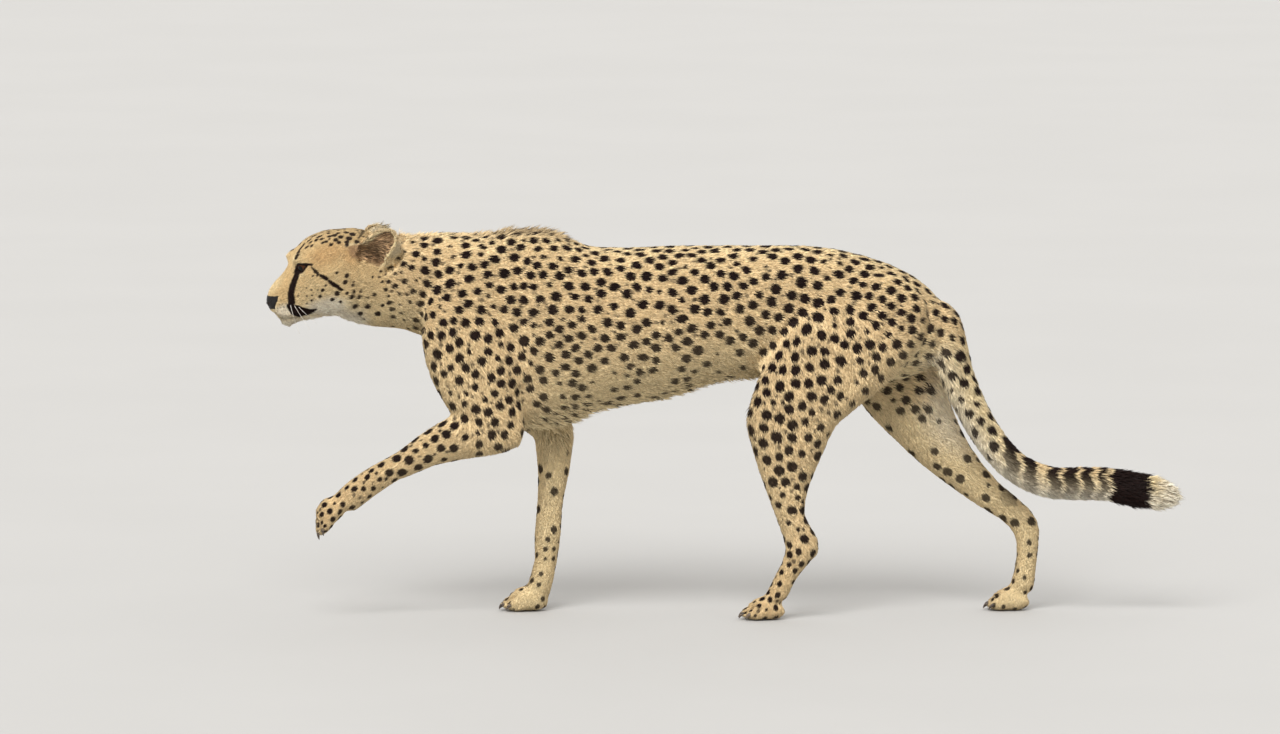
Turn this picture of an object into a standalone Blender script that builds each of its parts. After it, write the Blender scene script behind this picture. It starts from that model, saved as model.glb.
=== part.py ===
"""A walking cheetah, life size, as a still model.

The animal is lofted from named stations along its trunk, neck, head, legs and tail, welded into one
body, and then parted with thin cuts into the pieces a person would name. Metres, +Z up, head toward
-X, its left side toward -Y. Heights and girths reach out to the tips of the coat.
"""

import math

import bmesh
import bpy
from mathutils import Matrix, Vector

# Driving sizes
MIDDLE = Vector((0.1190, -0.0007, 0.0))          # middle of the animal's box, on the stations' axes
GAP = 0.00035              # width of the thin cuts between pieces
VOXEL = 0.005              # cell of the weld that joins the lofts
SMOOTHING = 9              # rounds of smoothing after the weld
BODY_TRIANGLES = 4200      # triangles of the whole body before it is parted
RING_SIDES = 28            # points round each loft
SPAN_STEPS = 6             # rings between two stations
SQUARENESS = 2.25          # exponent of the sections, 2 is an ellipse
PILLOW_POWER = 4           # exponent of the rounded boxes that part the upper legs

HEAD_PITCH = math.radians(20)     # nose below level
HEAD_YAW = math.radians(12)       # nose turned to the animal's left
HEAD_CENTRE = Vector((-0.6866, -0.015, 0.668))   # midpoint between the eyes
EYE_RADIUS = 0.016
EYE_OFFSET = Vector((-0.0105, 0.031, 0.0))       # forward, sideways and up from HEAD_CENTRE
EYE_TURN = math.radians(36)       # how far the eyes look out from straight ahead
EAR_HEIGHT, EAR_WIDTH, EAR_DEPTH, EAR_WALL = 0.084, 0.076, 0.042, 0.006
EAR_MIDDLES = {1: Vector((-0.150, 0.072, -0.018)), -1: Vector((-0.170, -0.069, -0.023))}   # left, right
EAR_TIP = Vector((-0.80, 0.30, 0.50))            # the way the ear points
EAR_FACE = Vector((0.30, 0.95, 0.10))            # the way it opens
TOE_LENGTH, TOE_WIDTH, TOE_HEIGHT = 0.046, 0.0175, 0.031
TOE_SPREAD = (-0.0235, -0.0080, 0.0080, 0.0235)  # sideways places of the four toes
TOE_REACH = (0.020, 0.032, 0.032, 0.020)         # how far forward each of them lies
CLAW_LENGTH, CLAW_RADIUS, CLAW_DROP = 0.010, 0.0034, 28    # the last in degrees
LID_WIDTH, LID_HEIGHT, LID_DEPTH = 0.014, 0.0105, 0.018    # half sizes of the opening before an eye
CREASE = 50                                      # shading breaks at edges sharper than this, in degrees

# Stations of the trunk: distance along X, middle height, then reach up, down and sideways
TRUNK = (
    (-0.460, 0.580, 0.060, 0.015, 0.040),
    (-0.440, 0.580, 0.110, 0.062, 0.068),
    (-0.410, 0.578, 0.147, 0.138, 0.088),
    (-0.360, 0.574, 0.160, 0.178, 0.098),
    (-0.290, 0.566, 0.176, 0.201, 0.104),
    (-0.225, 0.558, 0.180, 0.204, 0.108),
    (-0.155, 0.553, 0.156, 0.186, 0.111),
    (-0.085, 0.549, 0.154, 0.152, 0.111),
    (0.000, 0.553, 0.152, 0.141, 0.109),
    (0.080, 0.563, 0.145, 0.122, 0.104),
    (0.150, 0.577, 0.132, 0.128, 0.094),
    (0.220, 0.588, 0.119, 0.128, 0.086),
    (0.290, 0.588, 0.116, 0.120, 0.085),
    (0.360, 0.576, 0.114, 0.118, 0.086),
    (0.430, 0.560, 0.105, 0.115, 0.082),
    (0.490, 0.548, 0.084, 0.095, 0.066),
    (0.528, 0.543, 0.056, 0.062, 0.045),
    (0.548, 0.541, 0.026, 0.032, 0.022),
)

# Neck, from behind the skull to the shoulders: X, Y, middle height, reach up, down and sideways
NECK = (
    (-0.615, -0.006, 0.650, 0.066, 0.074, 0.056),
    (-0.580, -0.004, 0.646, 0.078, 0.084, 0.061),
    (-0.535, -0.002, 0.642, 0.084, 0.090, 0.064),
    (-0.490, 0.000, 0.640, 0.087, 0.094, 0.068),
    (-0.445, 0.000, 0.640, 0.090, 0.112, 0.076),
    (-0.395, 0.000, 0.640, 0.092, 0.150, 0.084),
    (-0.350, 0.000, 0.640, 0.090, 0.150, 0.080),
)

# Head, in its own frame: forward of the eyes, top, bottom, half width
HEAD = (
    (0.0800, -0.036, -0.054, 0.014),
    (0.0740, -0.030, -0.066, 0.023),
    (0.0640, -0.020, -0.083, 0.031),
    (0.0480, -0.010, -0.097, 0.036),
    (0.0280, -0.001, -0.102, 0.040),
    (0.0100, 0.014, -0.104, 0.050),
    (-0.0100, 0.034, -0.107, 0.062),
    (-0.0350, 0.044, -0.114, 0.071),
    (-0.0650, 0.046, -0.125, 0.076),
    (-0.0950, 0.040, -0.131, 0.073),
    (-0.1250, 0.030, -0.134, 0.065),
    (-0.1500, 0.016, -0.125, 0.052),
)

# Extra masses of the head, in its own frame: centre (forward, sideways, up) and half sizes
HEAD_MASSES = (
    ((0.046, 0.017, -0.052), (0.026, 0.0205, 0.020)),   # whisker pad
    ((0.050, 0.004, -0.086), (0.018, 0.018, 0.017)),    # chin
    ((-0.004, 0.031, 0.018), (0.019, 0.018, 0.012)),    # brow ridge
    ((-0.036, 0.048, -0.034), (0.038, 0.024, 0.021)),   # cheekbone
    ((-0.070, 0.042, -0.070), (0.040, 0.034, 0.048)),   # jaw muscle
)

# Legs: X, Y, Z of the middle, then reach backward, forward and sideways
FORE_LEFT = (
    (-0.325, -0.058, 0.694, 0.045, 0.045, 0.022),
    (-0.345, -0.070, 0.630, 0.066, 0.076, 0.034),
    (-0.361, -0.079, 0.560, 0.083, 0.090, 0.041),
    (-0.361, -0.084, 0.500, 0.090, 0.083, 0.042),
    (-0.345, -0.087, 0.442, 0.084, 0.070, 0.040),
    (-0.322, -0.088, 0.396, 0.066, 0.058, 0.037),
    (-0.300, -0.088, 0.360, 0.050, 0.046, 0.033),
    (-0.292, -0.088, 0.336, 0.030, 0.030, 0.024),
)
FOREARM_LEFT = (
    (-0.262, -0.088, 0.361, 0.024, 0.024, 0.024),
    (-0.300, -0.088, 0.360, 0.040, 0.040, 0.033),
    (-0.357, -0.087, 0.355, 0.045, 0.047, 0.036),
    (-0.400, -0.086, 0.341, 0.039, 0.042, 0.033),
    (-0.440, -0.084, 0.324, 0.032, 0.034, 0.029),
    (-0.475, -0.082, 0.304, 0.027, 0.028, 0.026),
    (-0.505, -0.080, 0.289, 0.024, 0.025, 0.025),
    (-0.540, -0.078, 0.268, 0.025, 0.026, 0.025),
    (-0.572, -0.076, 0.245, 0.026, 0.027, 0.027),
    (-0.597, -0.075, 0.223, 0.024, 0.026, 0.027),
)
FORE_RIGHT = (
    (-0.315, 0.058, 0.694, 0.045, 0.045, 0.022),
    (-0.335, 0.070, 0.625, 0.066, 0.074, 0.034),
    (-0.348, 0.079, 0.555, 0.083, 0.086, 0.041),
    (-0.334, 0.084, 0.490, 0.086, 0.080, 0.042),
    (-0.292, 0.084, 0.436, 0.072, 0.070, 0.040),
    (-0.245, 0.082, 0.396, 0.056, 0.056, 0.036),
    (-0.205, 0.078, 0.350, 0.040, 0.044, 0.032),
    (-0.201, 0.073, 0.280, 0.031, 0.034, 0.028),
    (-0.208, 0.067, 0.210, 0.024, 0.027, 0.024),
    (-0.214, 0.061, 0.145, 0.025, 0.026, 0.026),
    (-0.218, 0.057, 0.095, 0.022, 0.022, 0.023),
    (-0.226, 0.053, 0.060, 0.023, 0.023, 0.026),
    (-0.232, 0.052, 0.034, 0.022, 0.022, 0.026),
)
# The near thigh and shank are cut level: X of the front and rear edge, Y, Z, reach sideways
HIND_LEFT = (
    (0.330, 0.450, -0.046, 0.655, 0.026),
    (0.268, 0.500, -0.056, 0.610, 0.038),
    (0.232, 0.504, -0.064, 0.560, 0.044),
    (0.208, 0.488, -0.070, 0.512, 0.046),
    (0.182, 0.436, -0.076, 0.459, 0.044),
    (0.166, 0.380, -0.080, 0.411, 0.042),
    (0.163, 0.335, -0.081, 0.372, 0.039),
    (0.176, 0.309, -0.080, 0.318, 0.035),
    (0.188, 0.292, -0.079, 0.280, 0.031),
    (0.201, 0.280, -0.078, 0.243, 0.027),
    (0.217, 0.276, -0.076, 0.200, 0.023),
    (0.231, 0.297, -0.074, 0.160, 0.021),
    (0.236, 0.302, -0.073, 0.132, 0.022),
    (0.228, 0.280, -0.072, 0.104, 0.021),
    (0.212, 0.256, -0.071, 0.072, 0.022),
    (0.198, 0.242, -0.070, 0.040, 0.025),
)
HIND_RIGHT = (
    (0.400, 0.046, 0.640, 0.050, 0.060, 0.028),
    (0.412, 0.056, 0.580, 0.088, 0.095, 0.040),
    (0.430, 0.064, 0.510, 0.092, 0.097, 0.043),
    (0.458, 0.071, 0.440, 0.086, 0.090, 0.041),
    (0.494, 0.075, 0.372, 0.068, 0.068, 0.038),
    (0.532, 0.075, 0.317, 0.054, 0.052, 0.034),
    (0.577, 0.072, 0.268, 0.040, 0.040, 0.029),
    (0.626, 0.068, 0.225, 0.030, 0.032, 0.025),
    (0.668, 0.065, 0.192, 0.028, 0.026, 0.022),
    (0.694, 0.063, 0.160, 0.030, 0.023, 0.021),
    (0.701, 0.061, 0.120, 0.023, 0.020, 0.020),
    (0.698, 0.060, 0.078, 0.021, 0.021, 0.022),
    (0.692, 0.059, 0.040, 0.023, 0.023, 0.025),
)
# Tail: X, Y, Z of the middle and its radius
TAIL = (
    (0.495, 0.000, 0.580, 0.034),
    (0.530, -0.002, 0.560, 0.039),
    (0.548, -0.006, 0.515, 0.037),
    (0.564, -0.010, 0.460, 0.034),
    (0.590, -0.014, 0.400, 0.032),
    (0.622, -0.017, 0.344, 0.031),
    (0.670, -0.018, 0.289, 0.031),
    (0.738, -0.017, 0.256, 0.032),
    (0.836, -0.014, 0.252, 0.034),
    (0.905, -0.011, 0.241, 0.036),
    (0.955, -0.009, 0.230, 0.031),
    (0.982, -0.008, 0.223, 0.017),
)

# Paws: knuckle point over the ground, then heading (turn to the left) and pitch of the toes
PAWS = {
    "fore_left": (Vector((-0.606, -0.0745, 0.196)), 4, 50),
    "fore_right": (Vector((-0.250, 0.050, 0.0)), 2, 0),
    "hind_left": (Vector((0.203, -0.070, 0.0)), 3, 0),
    "hind_right": (Vector((0.672, 0.057, 0.0)), -4, 0),
}
PAW_SCALE = {"fore_left": 1.0, "fore_right": 1.0, "hind_left": 0.94, "hind_right": 0.94}

# Muscles that stand out under the skin: middle, half sizes, tilt about Y in degrees
MUSCLES = (
    ((-0.300, -0.084, 0.470), (0.052, 0.030, 0.085), 18),    # left triceps
    ((-0.385, -0.078, 0.500), (0.052, 0.032, 0.050), 0),     # left shoulder point
    ((-0.275, 0.082, 0.475), (0.052, 0.030, 0.080), 25),     # right triceps
    ((-0.372, 0.078, 0.500), (0.050, 0.032, 0.050), 0),      # right shoulder point
    ((0.305, -0.078, 0.500), (0.085, 0.042, 0.098), 25),     # left thigh
    ((0.258, -0.080, 0.345), (0.040, 0.032, 0.062), -5),     # left calf
    ((0.445, 0.070, 0.480), (0.085, 0.042, 0.095), -20),     # right thigh
    ((0.400, 0.000, 0.585), (0.105, 0.088, 0.090), 20),      # croup
)


def spline(keys, t):
    """The keys' values at t, in spans, along a Catmull-Rom curve through them."""
    last = len(keys) - 1
    span = min(int(t), last - 1)
    s = t - span
    a, b, c, d = (keys[min(max(span + k, 0), last)] for k in (-1, 0, 1, 2))
    return [
        0.5 * (2 * q + (r - p) * s + (2 * p - 5 * q + 4 * r - w) * s**2 + (3 * q - p - 3 * r + w) * s**3)
        for p, q, r, w in zip(a, b, c, d)
    ]


def section(centre, up, side, reach_up, reach_down, reach_side):
    """One ring of a loft: a squarish oval whose upper and lower halves reach different distances."""
    ring = []
    for k in range(RING_SIDES):
        angle = 2 * math.pi * k / RING_SIDES
        c, s = math.cos(angle), math.sin(angle)
        across = math.copysign(abs(c) ** (2 / SQUARENESS), c) * reach_side
        along = math.copysign(abs(s) ** (2 / SQUARENESS), s) * (reach_up if s > 0 else reach_down)
        ring.append(centre + side * across + up * along)
    return ring


def loft(name, rings):
    """A closed skin over the rings, with a point at each end."""
    work = bmesh.new()
    rows = [[work.verts.new(point) for point in ring] for ring in rings]
    for first, second in zip(rows, rows[1:]):
        for k in range(RING_SIDES):
            n = (k + 1) % RING_SIDES
            work.faces.new((first[k], first[n], second[n], second[k]))
    for row in (rows[0], rows[-1]):
        middle = work.verts.new(sum((v.co for v in row), Vector()) / RING_SIDES)
        for k in range(RING_SIDES):
            work.faces.new((row[k], row[(k + 1) % RING_SIDES], middle))
    bmesh.ops.recalc_face_normals(work, faces=work.faces)
    return as_object(name, work)


def as_object(name, work):
    mesh = bpy.data.meshes.new(name)
    work.to_mesh(mesh)
    work.free()
    made = bpy.data.objects.new(name, mesh)
    bpy.context.scene.collection.objects.link(made)
    return made


def path_loft(name, stations):
    """A loft along its stations (X, Y, Z, reach up or back, reach down or forward, reach sideways)."""
    spans = (len(stations) - 1) * SPAN_STEPS
    samples = [spline(stations, k / SPAN_STEPS) for k in range(spans + 1)]
    centres = [Vector(sample[:3]) for sample in samples]
    rings = []
    for k, sample in enumerate(samples):
        ahead = (centres[min(k + 1, spans)] - centres[max(k - 1, 0)]).normalized()
        side = (Vector((0, 1, 0)) - ahead * ahead.y).normalized()
        up = ahead.cross(side)
        rings.append(section(centres[k], up, side, *sample[3:]))
    return loft(name, rings)


def level_loft(name, stations):
    """A loft of level sections (front X, rear X, Y, Z, reach sideways)."""
    rings = []
    for k in range((len(stations) - 1) * SPAN_STEPS + 1):
        front, rear, y, z, side = spline(stations, k / SPAN_STEPS)
        half = (rear - front) / 2
        centre = Vector(((front + rear) / 2, y, z))
        rings.append(section(centre, Vector((1, 0, 0)), Vector((0, 1, 0)), half, half, side))
    return loft(name, rings)


def ball(name, matrix, detail=2):
    """A unit ball placed, turned and stretched by the matrix."""
    work = bmesh.new()
    bmesh.ops.create_icosphere(work, subdivisions=detail, radius=1, matrix=matrix)
    return as_object(name, work)


def pillow(name, matrix):
    """A box with well rounded sides, two units wide, placed, turned and stretched by the matrix."""
    work = bmesh.new()
    bmesh.ops.create_icosphere(work, subdivisions=3, radius=1)
    for vertex in work.verts:
        vertex.co /= sum(abs(part) ** PILLOW_POWER for part in vertex.co) ** (1 / PILLOW_POWER)
    work.transform(matrix)
    return as_object(name, work)


def box(name, matrix):
    """A box two units wide placed, turned and stretched by the matrix."""
    work = bmesh.new()
    bmesh.ops.create_cube(work, size=2, matrix=matrix)
    return as_object(name, work)


def placed(middle, halves, turn=Matrix.Identity(4)):
    return Matrix.Translation(middle) @ turn @ Matrix.Diagonal((*halves, 1))


def head_frame():
    """From the head's own frame (forward, to its left, up) to the model."""
    turn = Matrix.Rotation(HEAD_YAW, 4, "Z") @ Matrix.Rotation(-HEAD_PITCH, 4, "Y")
    return Matrix.Translation(HEAD_CENTRE) @ turn @ Matrix.Diagonal((-1, -1, 1, 1))


def head_pieces():
    frame = head_frame()
    rings = []
    for k in range((len(HEAD) - 1) * SPAN_STEPS + 1):
        ahead, top, bottom, side = spline(HEAD, k / SPAN_STEPS)
        middle = top + (bottom - top) * 0.52
        centre = Vector((ahead, 0, middle))
        ring = section(centre, Vector((0, 0, 1)), Vector((0, 1, 0)), top - middle, middle - bottom, side)
        rings.append([frame @ point for point in ring])
    pieces = [loft("head_core", rings)]
    for n, (middle, halves) in enumerate(HEAD_MASSES):
        for side in (1, -1):
            centre = Vector((middle[0], side * middle[1], middle[2]))
            pieces.append(ball(f"head_mass_{n}_{side}", frame @ placed(centre, halves)))
    return pieces


def paw_frame(leg):
    """Forward, left and up from the knuckles of a paw."""
    place, heading, pitch = PAWS[leg]
    turn = Matrix.Rotation(math.radians(heading), 4, "Z") @ Matrix.Rotation(-math.radians(pitch), 4, "Y")
    size = PAW_SCALE[leg]
    return Matrix.Translation(place) @ turn @ Matrix.Diagonal((-size, -size, size, 1))


def paw_pieces(leg):
    """The pad and knuckles, four toes and their claws."""
    frame = paw_frame(leg)
    pieces = [
        ball(f"{leg}_pad", frame @ placed((-0.006, 0, 0.018), (0.034, 0.0300, 0.021))),
        ball(f"{leg}_knuckles", frame @ placed((0.004, 0, 0.030), (0.030, 0.0275, 0.0185))),
    ]
    for k, (side, reach) in enumerate(zip(TOE_SPREAD, TOE_REACH)):
        toe = placed((reach, side, TOE_HEIGHT / 2 - 0.0015), (TOE_LENGTH / 2, TOE_WIDTH / 2, TOE_HEIGHT / 2))
        pieces.append(ball(f"{leg}_toe_{k}", frame @ toe))
        tip = placed(
            (reach + TOE_LENGTH / 2 - 0.003, side, 0.0105),
            (CLAW_LENGTH / 2, CLAW_RADIUS, CLAW_RADIUS * 1.3),
            Matrix.Rotation(math.radians(CLAW_DROP), 4, "Y"),
        )
        pieces.append(ball(f"{leg}_claw_{k}", frame @ tip))
    return pieces


def join(objects, name):
    with bpy.context.temp_override(active_object=objects[0], selected_editable_objects=objects):
        bpy.ops.object.join()
    objects[0].name = name
    return objects[0]


def apply_modifiers(subject):
    """Replaces the object's mesh by what its modifiers make of it."""
    graph = bpy.context.evaluated_depsgraph_get()
    made = bpy.data.meshes.new_from_object(subject.evaluated_get(graph))
    subject.modifiers.clear()
    subject.data = made


def weld_body():
    """Every mass of the animal as one smooth closed surface of about BODY_TRIANGLES triangles."""
    trunk = [(x, 0, z, up, down, side) for x, z, up, down, side in TRUNK]
    tail = [(x, y, z, r, r, r) for x, y, z, r in TAIL]
    pieces = [
        path_loft("trunk_core", trunk),
        path_loft("neck_core", NECK),
        path_loft("fore_left_core", FORE_LEFT),
        path_loft("forearm_left_core", FOREARM_LEFT),
        path_loft("fore_right_core", FORE_RIGHT),
        level_loft("hind_left_core", HIND_LEFT),
        path_loft("hind_right_core", HIND_RIGHT),
        path_loft("tail_core", tail),
    ]
    pieces += head_pieces()
    for leg in PAWS:
        pieces += paw_pieces(leg)
    for n, (middle, halves, tilt) in enumerate(MUSCLES):
        turn = Matrix.Rotation(math.radians(tilt), 4, "Y")
        pieces.append(ball(f"muscle_{n}", placed(middle, halves, turn)))
    body = join(pieces, "body")
    weld = body.modifiers.new("weld", "REMESH")
    weld.mode = "VOXEL"
    weld.voxel_size = VOXEL
    soften = body.modifiers.new("soften", "SMOOTH")
    soften.iterations = SMOOTHING
    apply_modifiers(body)
    body.modifiers.new("triangles", "TRIANGULATE")
    apply_modifiers(body)
    thin = body.modifiers.new("thin", "DECIMATE")
    thin.ratio = BODY_TRIANGLES / len(body.data.polygons)
    apply_modifiers(body)
    flatten_soles(body)
    return body


def flatten_soles(body):
    """Cuts the standing paws level at the floor."""
    work = bmesh.new()
    work.from_mesh(body.data)
    everything = work.verts[:] + work.edges[:] + work.faces[:]
    floor, down = (0, 0, 0), (0, 0, -1)
    cut = bmesh.ops.bisect_plane(work, geom=everything, plane_co=floor, plane_no=down, clear_outer=True)
    rim = [item for item in cut["geom_cut"] if isinstance(item, bmesh.types.BMEdge)]
    bmesh.ops.holes_fill(work, edges=rim)
    bmesh.ops.triangulate(work, faces=work.faces)
    work.to_mesh(body.data)
    work.free()


def boolean(subject, other, operation):
    cut = subject.modifiers.new("cut", "BOOLEAN")
    cut.object = other
    cut.operation = operation
    cut.solver = "EXACT"
    apply_modifiers(subject)


def copy_of(subject, name):
    made = subject.copy()
    made.data = subject.data.copy()
    made.name = name
    bpy.context.scene.collection.objects.link(made)
    return made


def remove(subject):
    bpy.data.objects.remove(subject, do_unlink=True)


def peel(body, name, shape, matrix, halves):
    """Takes what lies in a region off the body as its own piece, leaving a thin gap."""
    piece = copy_of(body, name)
    region = shape("region", matrix @ Matrix.Diagonal((*halves, 1)))
    boolean(piece, region, "INTERSECT")
    remove(region)
    wider = [half + GAP for half in halves]
    region = shape("region", matrix @ Matrix.Diagonal((*wider, 1)))
    boolean(body, region, "DIFFERENCE")
    remove(region)
    return piece


def along(start, end):
    """A frame midway between two points whose Z axis runs from start to end."""
    start, end = Vector(start), Vector(end)
    turn = (end - start).to_track_quat("Z", "Y").to_matrix().to_4x4()
    return Matrix.Translation((start + end) / 2) @ turn, (end - start).length / 2


# Regions peeled off in turn. A limb's is a box from its upper cut to past its lower end: the two
# points, then half its width and depth
LIMB_CUTS = (
    ("fore_left_paw", (-0.508, -0.080, 0.287), (-0.690, -0.072, 0.130), 0.060, 0.075),
    ("fore_right_paw", (-0.215, 0.060, 0.138), (-0.250, 0.052, -0.060), 0.060, 0.085),
    ("hind_left_paw", (0.262, -0.074, 0.135), (0.160, -0.070, -0.060), 0.060, 0.080),
    ("hind_right_paw", (0.700, 0.062, 0.150), (0.680, 0.058, -0.060), 0.060, 0.085),
    ("fore_left_forearm", (-0.358, -0.092, 0.350), (-0.540, -0.084, 0.265), 0.046, 0.053),
    ("fore_right_forearm", (-0.204, 0.080, 0.335), (-0.212, 0.066, 0.100), 0.050, 0.062),
    ("hind_left_shank", (0.240, -0.080, 0.330), (0.262, -0.074, 0.100), 0.070, 0.085),
    ("hind_right_shank", (0.524, 0.078, 0.338), (0.710, 0.064, 0.130), 0.050, 0.076),
)
# An upper leg's is a pillow: middle, half sizes, lean about X and tilt about Y in degrees
UPPER_LEG_CUTS = (
    ("fore_left_upper", (-0.335, -0.158, 0.430), (0.112, 0.105, 0.150), 10, -15),
    ("fore_right_upper", (-0.270, 0.156, 0.425), (0.115, 0.110, 0.160), -10, -32),
    ("hind_left_thigh", (0.283, -0.172, 0.435), (0.150, 0.125, 0.185), 12, 27),
    ("hind_right_thigh", (0.470, 0.170, 0.440), (0.130, 0.125, 0.190), -12, -20),
)
TAIL_CUTS = (
    ("tail_end", (0.845, -0.014, 0.252), (1.050, -0.008, 0.215), 0.070, 0.070),
    ("tail_middle", (0.638, -0.017, 0.323), (0.870, -0.014, 0.230), 0.085, 0.085),
    ("tail_base", (0.552, -0.005, 0.515), (0.660, -0.017, 0.300), 0.046, 0.060),
)
FRONT_CUTS = (
    ("head", (-0.520, -0.004, 0.643), (-0.850, -0.010, 0.610), 0.170, 0.170),
    ("trunk_front", (0.030, 0.000, 0.560), (-0.600, 0.000, 0.560), 0.300, 0.300),
)
NECK_MIDDLE, NECK_HALVES = Vector((-0.530, -0.003, 0.640)), (0.115, 0.120, 0.140)
NOSE_MIDDLE, NOSE_HALVES = Vector((0.078, 0.0, -0.044)), (0.0155, 0.0200, 0.0145)


def peel_boxes(body, cuts):
    pieces = []
    for name, start, end, width, depth in cuts:
        frame, length = along(start, end)
        pieces.append(peel(body, name, box, frame, (width, depth, length)))
    return pieces


def part_body(body):
    """Parts the body into its named pieces, the limbs first."""
    pieces = peel_boxes(body, LIMB_CUTS)
    for name, middle, halves, lean, tilt in UPPER_LEG_CUTS:
        turn = Matrix.Rotation(math.radians(lean), 4, "X") @ Matrix.Rotation(math.radians(tilt), 4, "Y")
        pieces.append(peel(body, name, pillow, Matrix.Translation(middle) @ turn, halves))
    pieces += peel_boxes(body, TAIL_CUTS)
    pieces.append(peel(body, "nose", ball, head_frame() @ Matrix.Translation(NOSE_MIDDLE), NOSE_HALVES))
    pieces += peel_boxes(body, FRONT_CUTS[:1])
    pieces.append(peel(body, "neck", ball, Matrix.Translation(NECK_MIDDLE), NECK_HALVES))
    pieces += peel_boxes(body, FRONT_CUTS[1:])
    body.name = "trunk_rear"
    return pieces + [body]


def add_eyes(head):
    """Round eyes in sockets that open to the front and side."""
    eyes = []
    for name, side in (("eye_left", 1), ("eye_right", -1)):
        middle = Vector((EYE_OFFSET.x, side * EYE_OFFSET.y, EYE_OFFSET.z))
        facing = Matrix.Rotation(side * EYE_TURN, 4, "Z")
        frame = head_frame() @ Matrix.Translation(middle) @ facing
        opening = ball("opening", frame @ placed((LID_DEPTH, 0, 0), (LID_DEPTH, LID_WIDTH, LID_HEIGHT)))
        socket = ball("socket", frame @ Matrix.Scale(EYE_RADIUS + GAP, 4))
        for cutter in (opening, socket):
            boolean(head, cutter, "DIFFERENCE")
            remove(cutter)
        eyes.append(ball(name, frame @ Matrix.Scale(EYE_RADIUS, 4)))
    return eyes


def swollen_copy(body):
    """The whole body grown by the width of a cut, to set the ears against."""
    near = copy_of(body, "near")
    swell = near.modifiers.new("swell", "DISPLACE")
    swell.strength = GAP
    swell.mid_level = 0
    apply_modifiers(near)
    return near


def make_ears(near):
    """Cupped ears set against the body: each is a ball with a second ball taken out of it."""
    ears = []
    for name, side in (("ear_left", 1), ("ear_right", -1)):
        mirror = Matrix.Diagonal((1, side, 1))
        tip = (mirror @ EAR_TIP).normalized()
        face = mirror @ EAR_FACE
        face = (face - tip * face.dot(tip)).normalized()
        axes = Matrix((face, tip.cross(face), tip)).transposed().to_4x4()
        axes.translation = EAR_MIDDLES[side]
        frame = head_frame() @ axes
        ear = ball(name, frame @ placed((0, 0, 0), (EAR_DEPTH / 2, EAR_WIDTH / 2, EAR_HEIGHT / 2)))
        hollow = placed(
            (EAR_DEPTH * 0.55, 0, 0),
            (EAR_DEPTH * 0.78, EAR_WIDTH / 2 - EAR_WALL, EAR_HEIGHT / 2 - EAR_WALL),
        )
        cup = ball("cup", frame @ hollow)
        boolean(ear, cup, "DIFFERENCE")
        remove(cup)
        boolean(ear, near, "DIFFERENCE")
        ears.append(ear)
    return ears


MATERIALS = {
    "coat": ((0.60, 0.43, 0.22), 0.85),
    "nose_leather": ((0.02, 0.015, 0.015), 0.45),
    "eye": ((0.25, 0.12, 0.03), 0.1),
}
SLOTS = {"nose": "nose_leather", "eye_left": "eye", "eye_right": "eye"}


def finish(pieces):
    """Names, places and colours each piece."""
    parts = bpy.data.collections.new("cheetah")
    bpy.context.scene.collection.children.link(parts)
    made = {}
    for slot, (colour, roughness) in MATERIALS.items():
        made[slot] = bpy.data.materials.new(slot)
        made[slot].use_nodes = True
        shader = made[slot].node_tree.nodes["Principled BSDF"]
        shader.inputs["Base Color"].default_value = (*colour, 1)
        shader.inputs["Roughness"].default_value = roughness
    for piece in pieces:
        bpy.context.scene.collection.objects.unlink(piece)
        parts.objects.link(piece)
        piece.data.transform(Matrix.Translation(-MIDDLE))
        piece.data.name = piece.name
        piece.data.materials.clear()
        piece.data.materials.append(made[SLOTS.get(piece.name, "coat")])
        piece.data.shade_smooth()
        piece.data.set_sharp_from_angle(angle=math.radians(CREASE))


def main():
    for old in list(bpy.data.objects):
        bpy.data.objects.remove(old, do_unlink=True)
    body = weld_body()
    near = swollen_copy(body)
    ears = make_ears(near)
    remove(near)
    pieces = part_body(body)
    head = next(piece for piece in pieces if piece.name == "head")
    finish(pieces + add_eyes(head) + ears)


main()
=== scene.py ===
"""Looks of a walking cheetah: one skin over all of its body, the coat in tufts, eyes, nose, claws, whiskers
and the stage. Metres, +Z up, head toward -X, the animal's left side toward -Y."""

import math

import bmesh
import bpy
import numpy as np
from bpy.props import FloatProperty, FloatVectorProperty, IntProperty, PointerProperty
from mathutils import Matrix, Vector
from mathutils.bvhtree import BVHTree
from mathutils.kdtree import KDTree


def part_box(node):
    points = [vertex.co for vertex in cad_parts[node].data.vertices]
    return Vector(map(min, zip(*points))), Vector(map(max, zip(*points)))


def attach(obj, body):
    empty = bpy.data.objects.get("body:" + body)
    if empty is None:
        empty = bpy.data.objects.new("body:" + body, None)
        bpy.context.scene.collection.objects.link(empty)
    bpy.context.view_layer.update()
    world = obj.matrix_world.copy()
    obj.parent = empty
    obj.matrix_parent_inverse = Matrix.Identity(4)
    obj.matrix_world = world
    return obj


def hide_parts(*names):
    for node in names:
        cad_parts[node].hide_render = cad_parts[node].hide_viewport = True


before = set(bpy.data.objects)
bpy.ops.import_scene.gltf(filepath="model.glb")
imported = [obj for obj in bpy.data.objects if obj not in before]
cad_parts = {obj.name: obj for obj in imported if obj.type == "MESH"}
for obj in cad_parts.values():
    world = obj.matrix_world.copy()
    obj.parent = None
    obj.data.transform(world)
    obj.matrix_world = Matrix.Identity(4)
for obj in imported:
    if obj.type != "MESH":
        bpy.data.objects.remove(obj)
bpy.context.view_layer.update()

bl_info = {
    "name": "Cheetah coat and features",
    "version": (1, 0, 0),
    "blender": (4, 5, 0),
    "location": "View3D > Sidebar > Cheetah",
    "description": "Skin, coat, eyes, nose, claws and whiskers of a walking cheetah",
    "category": "Object",
}

MM = 0.001

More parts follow.
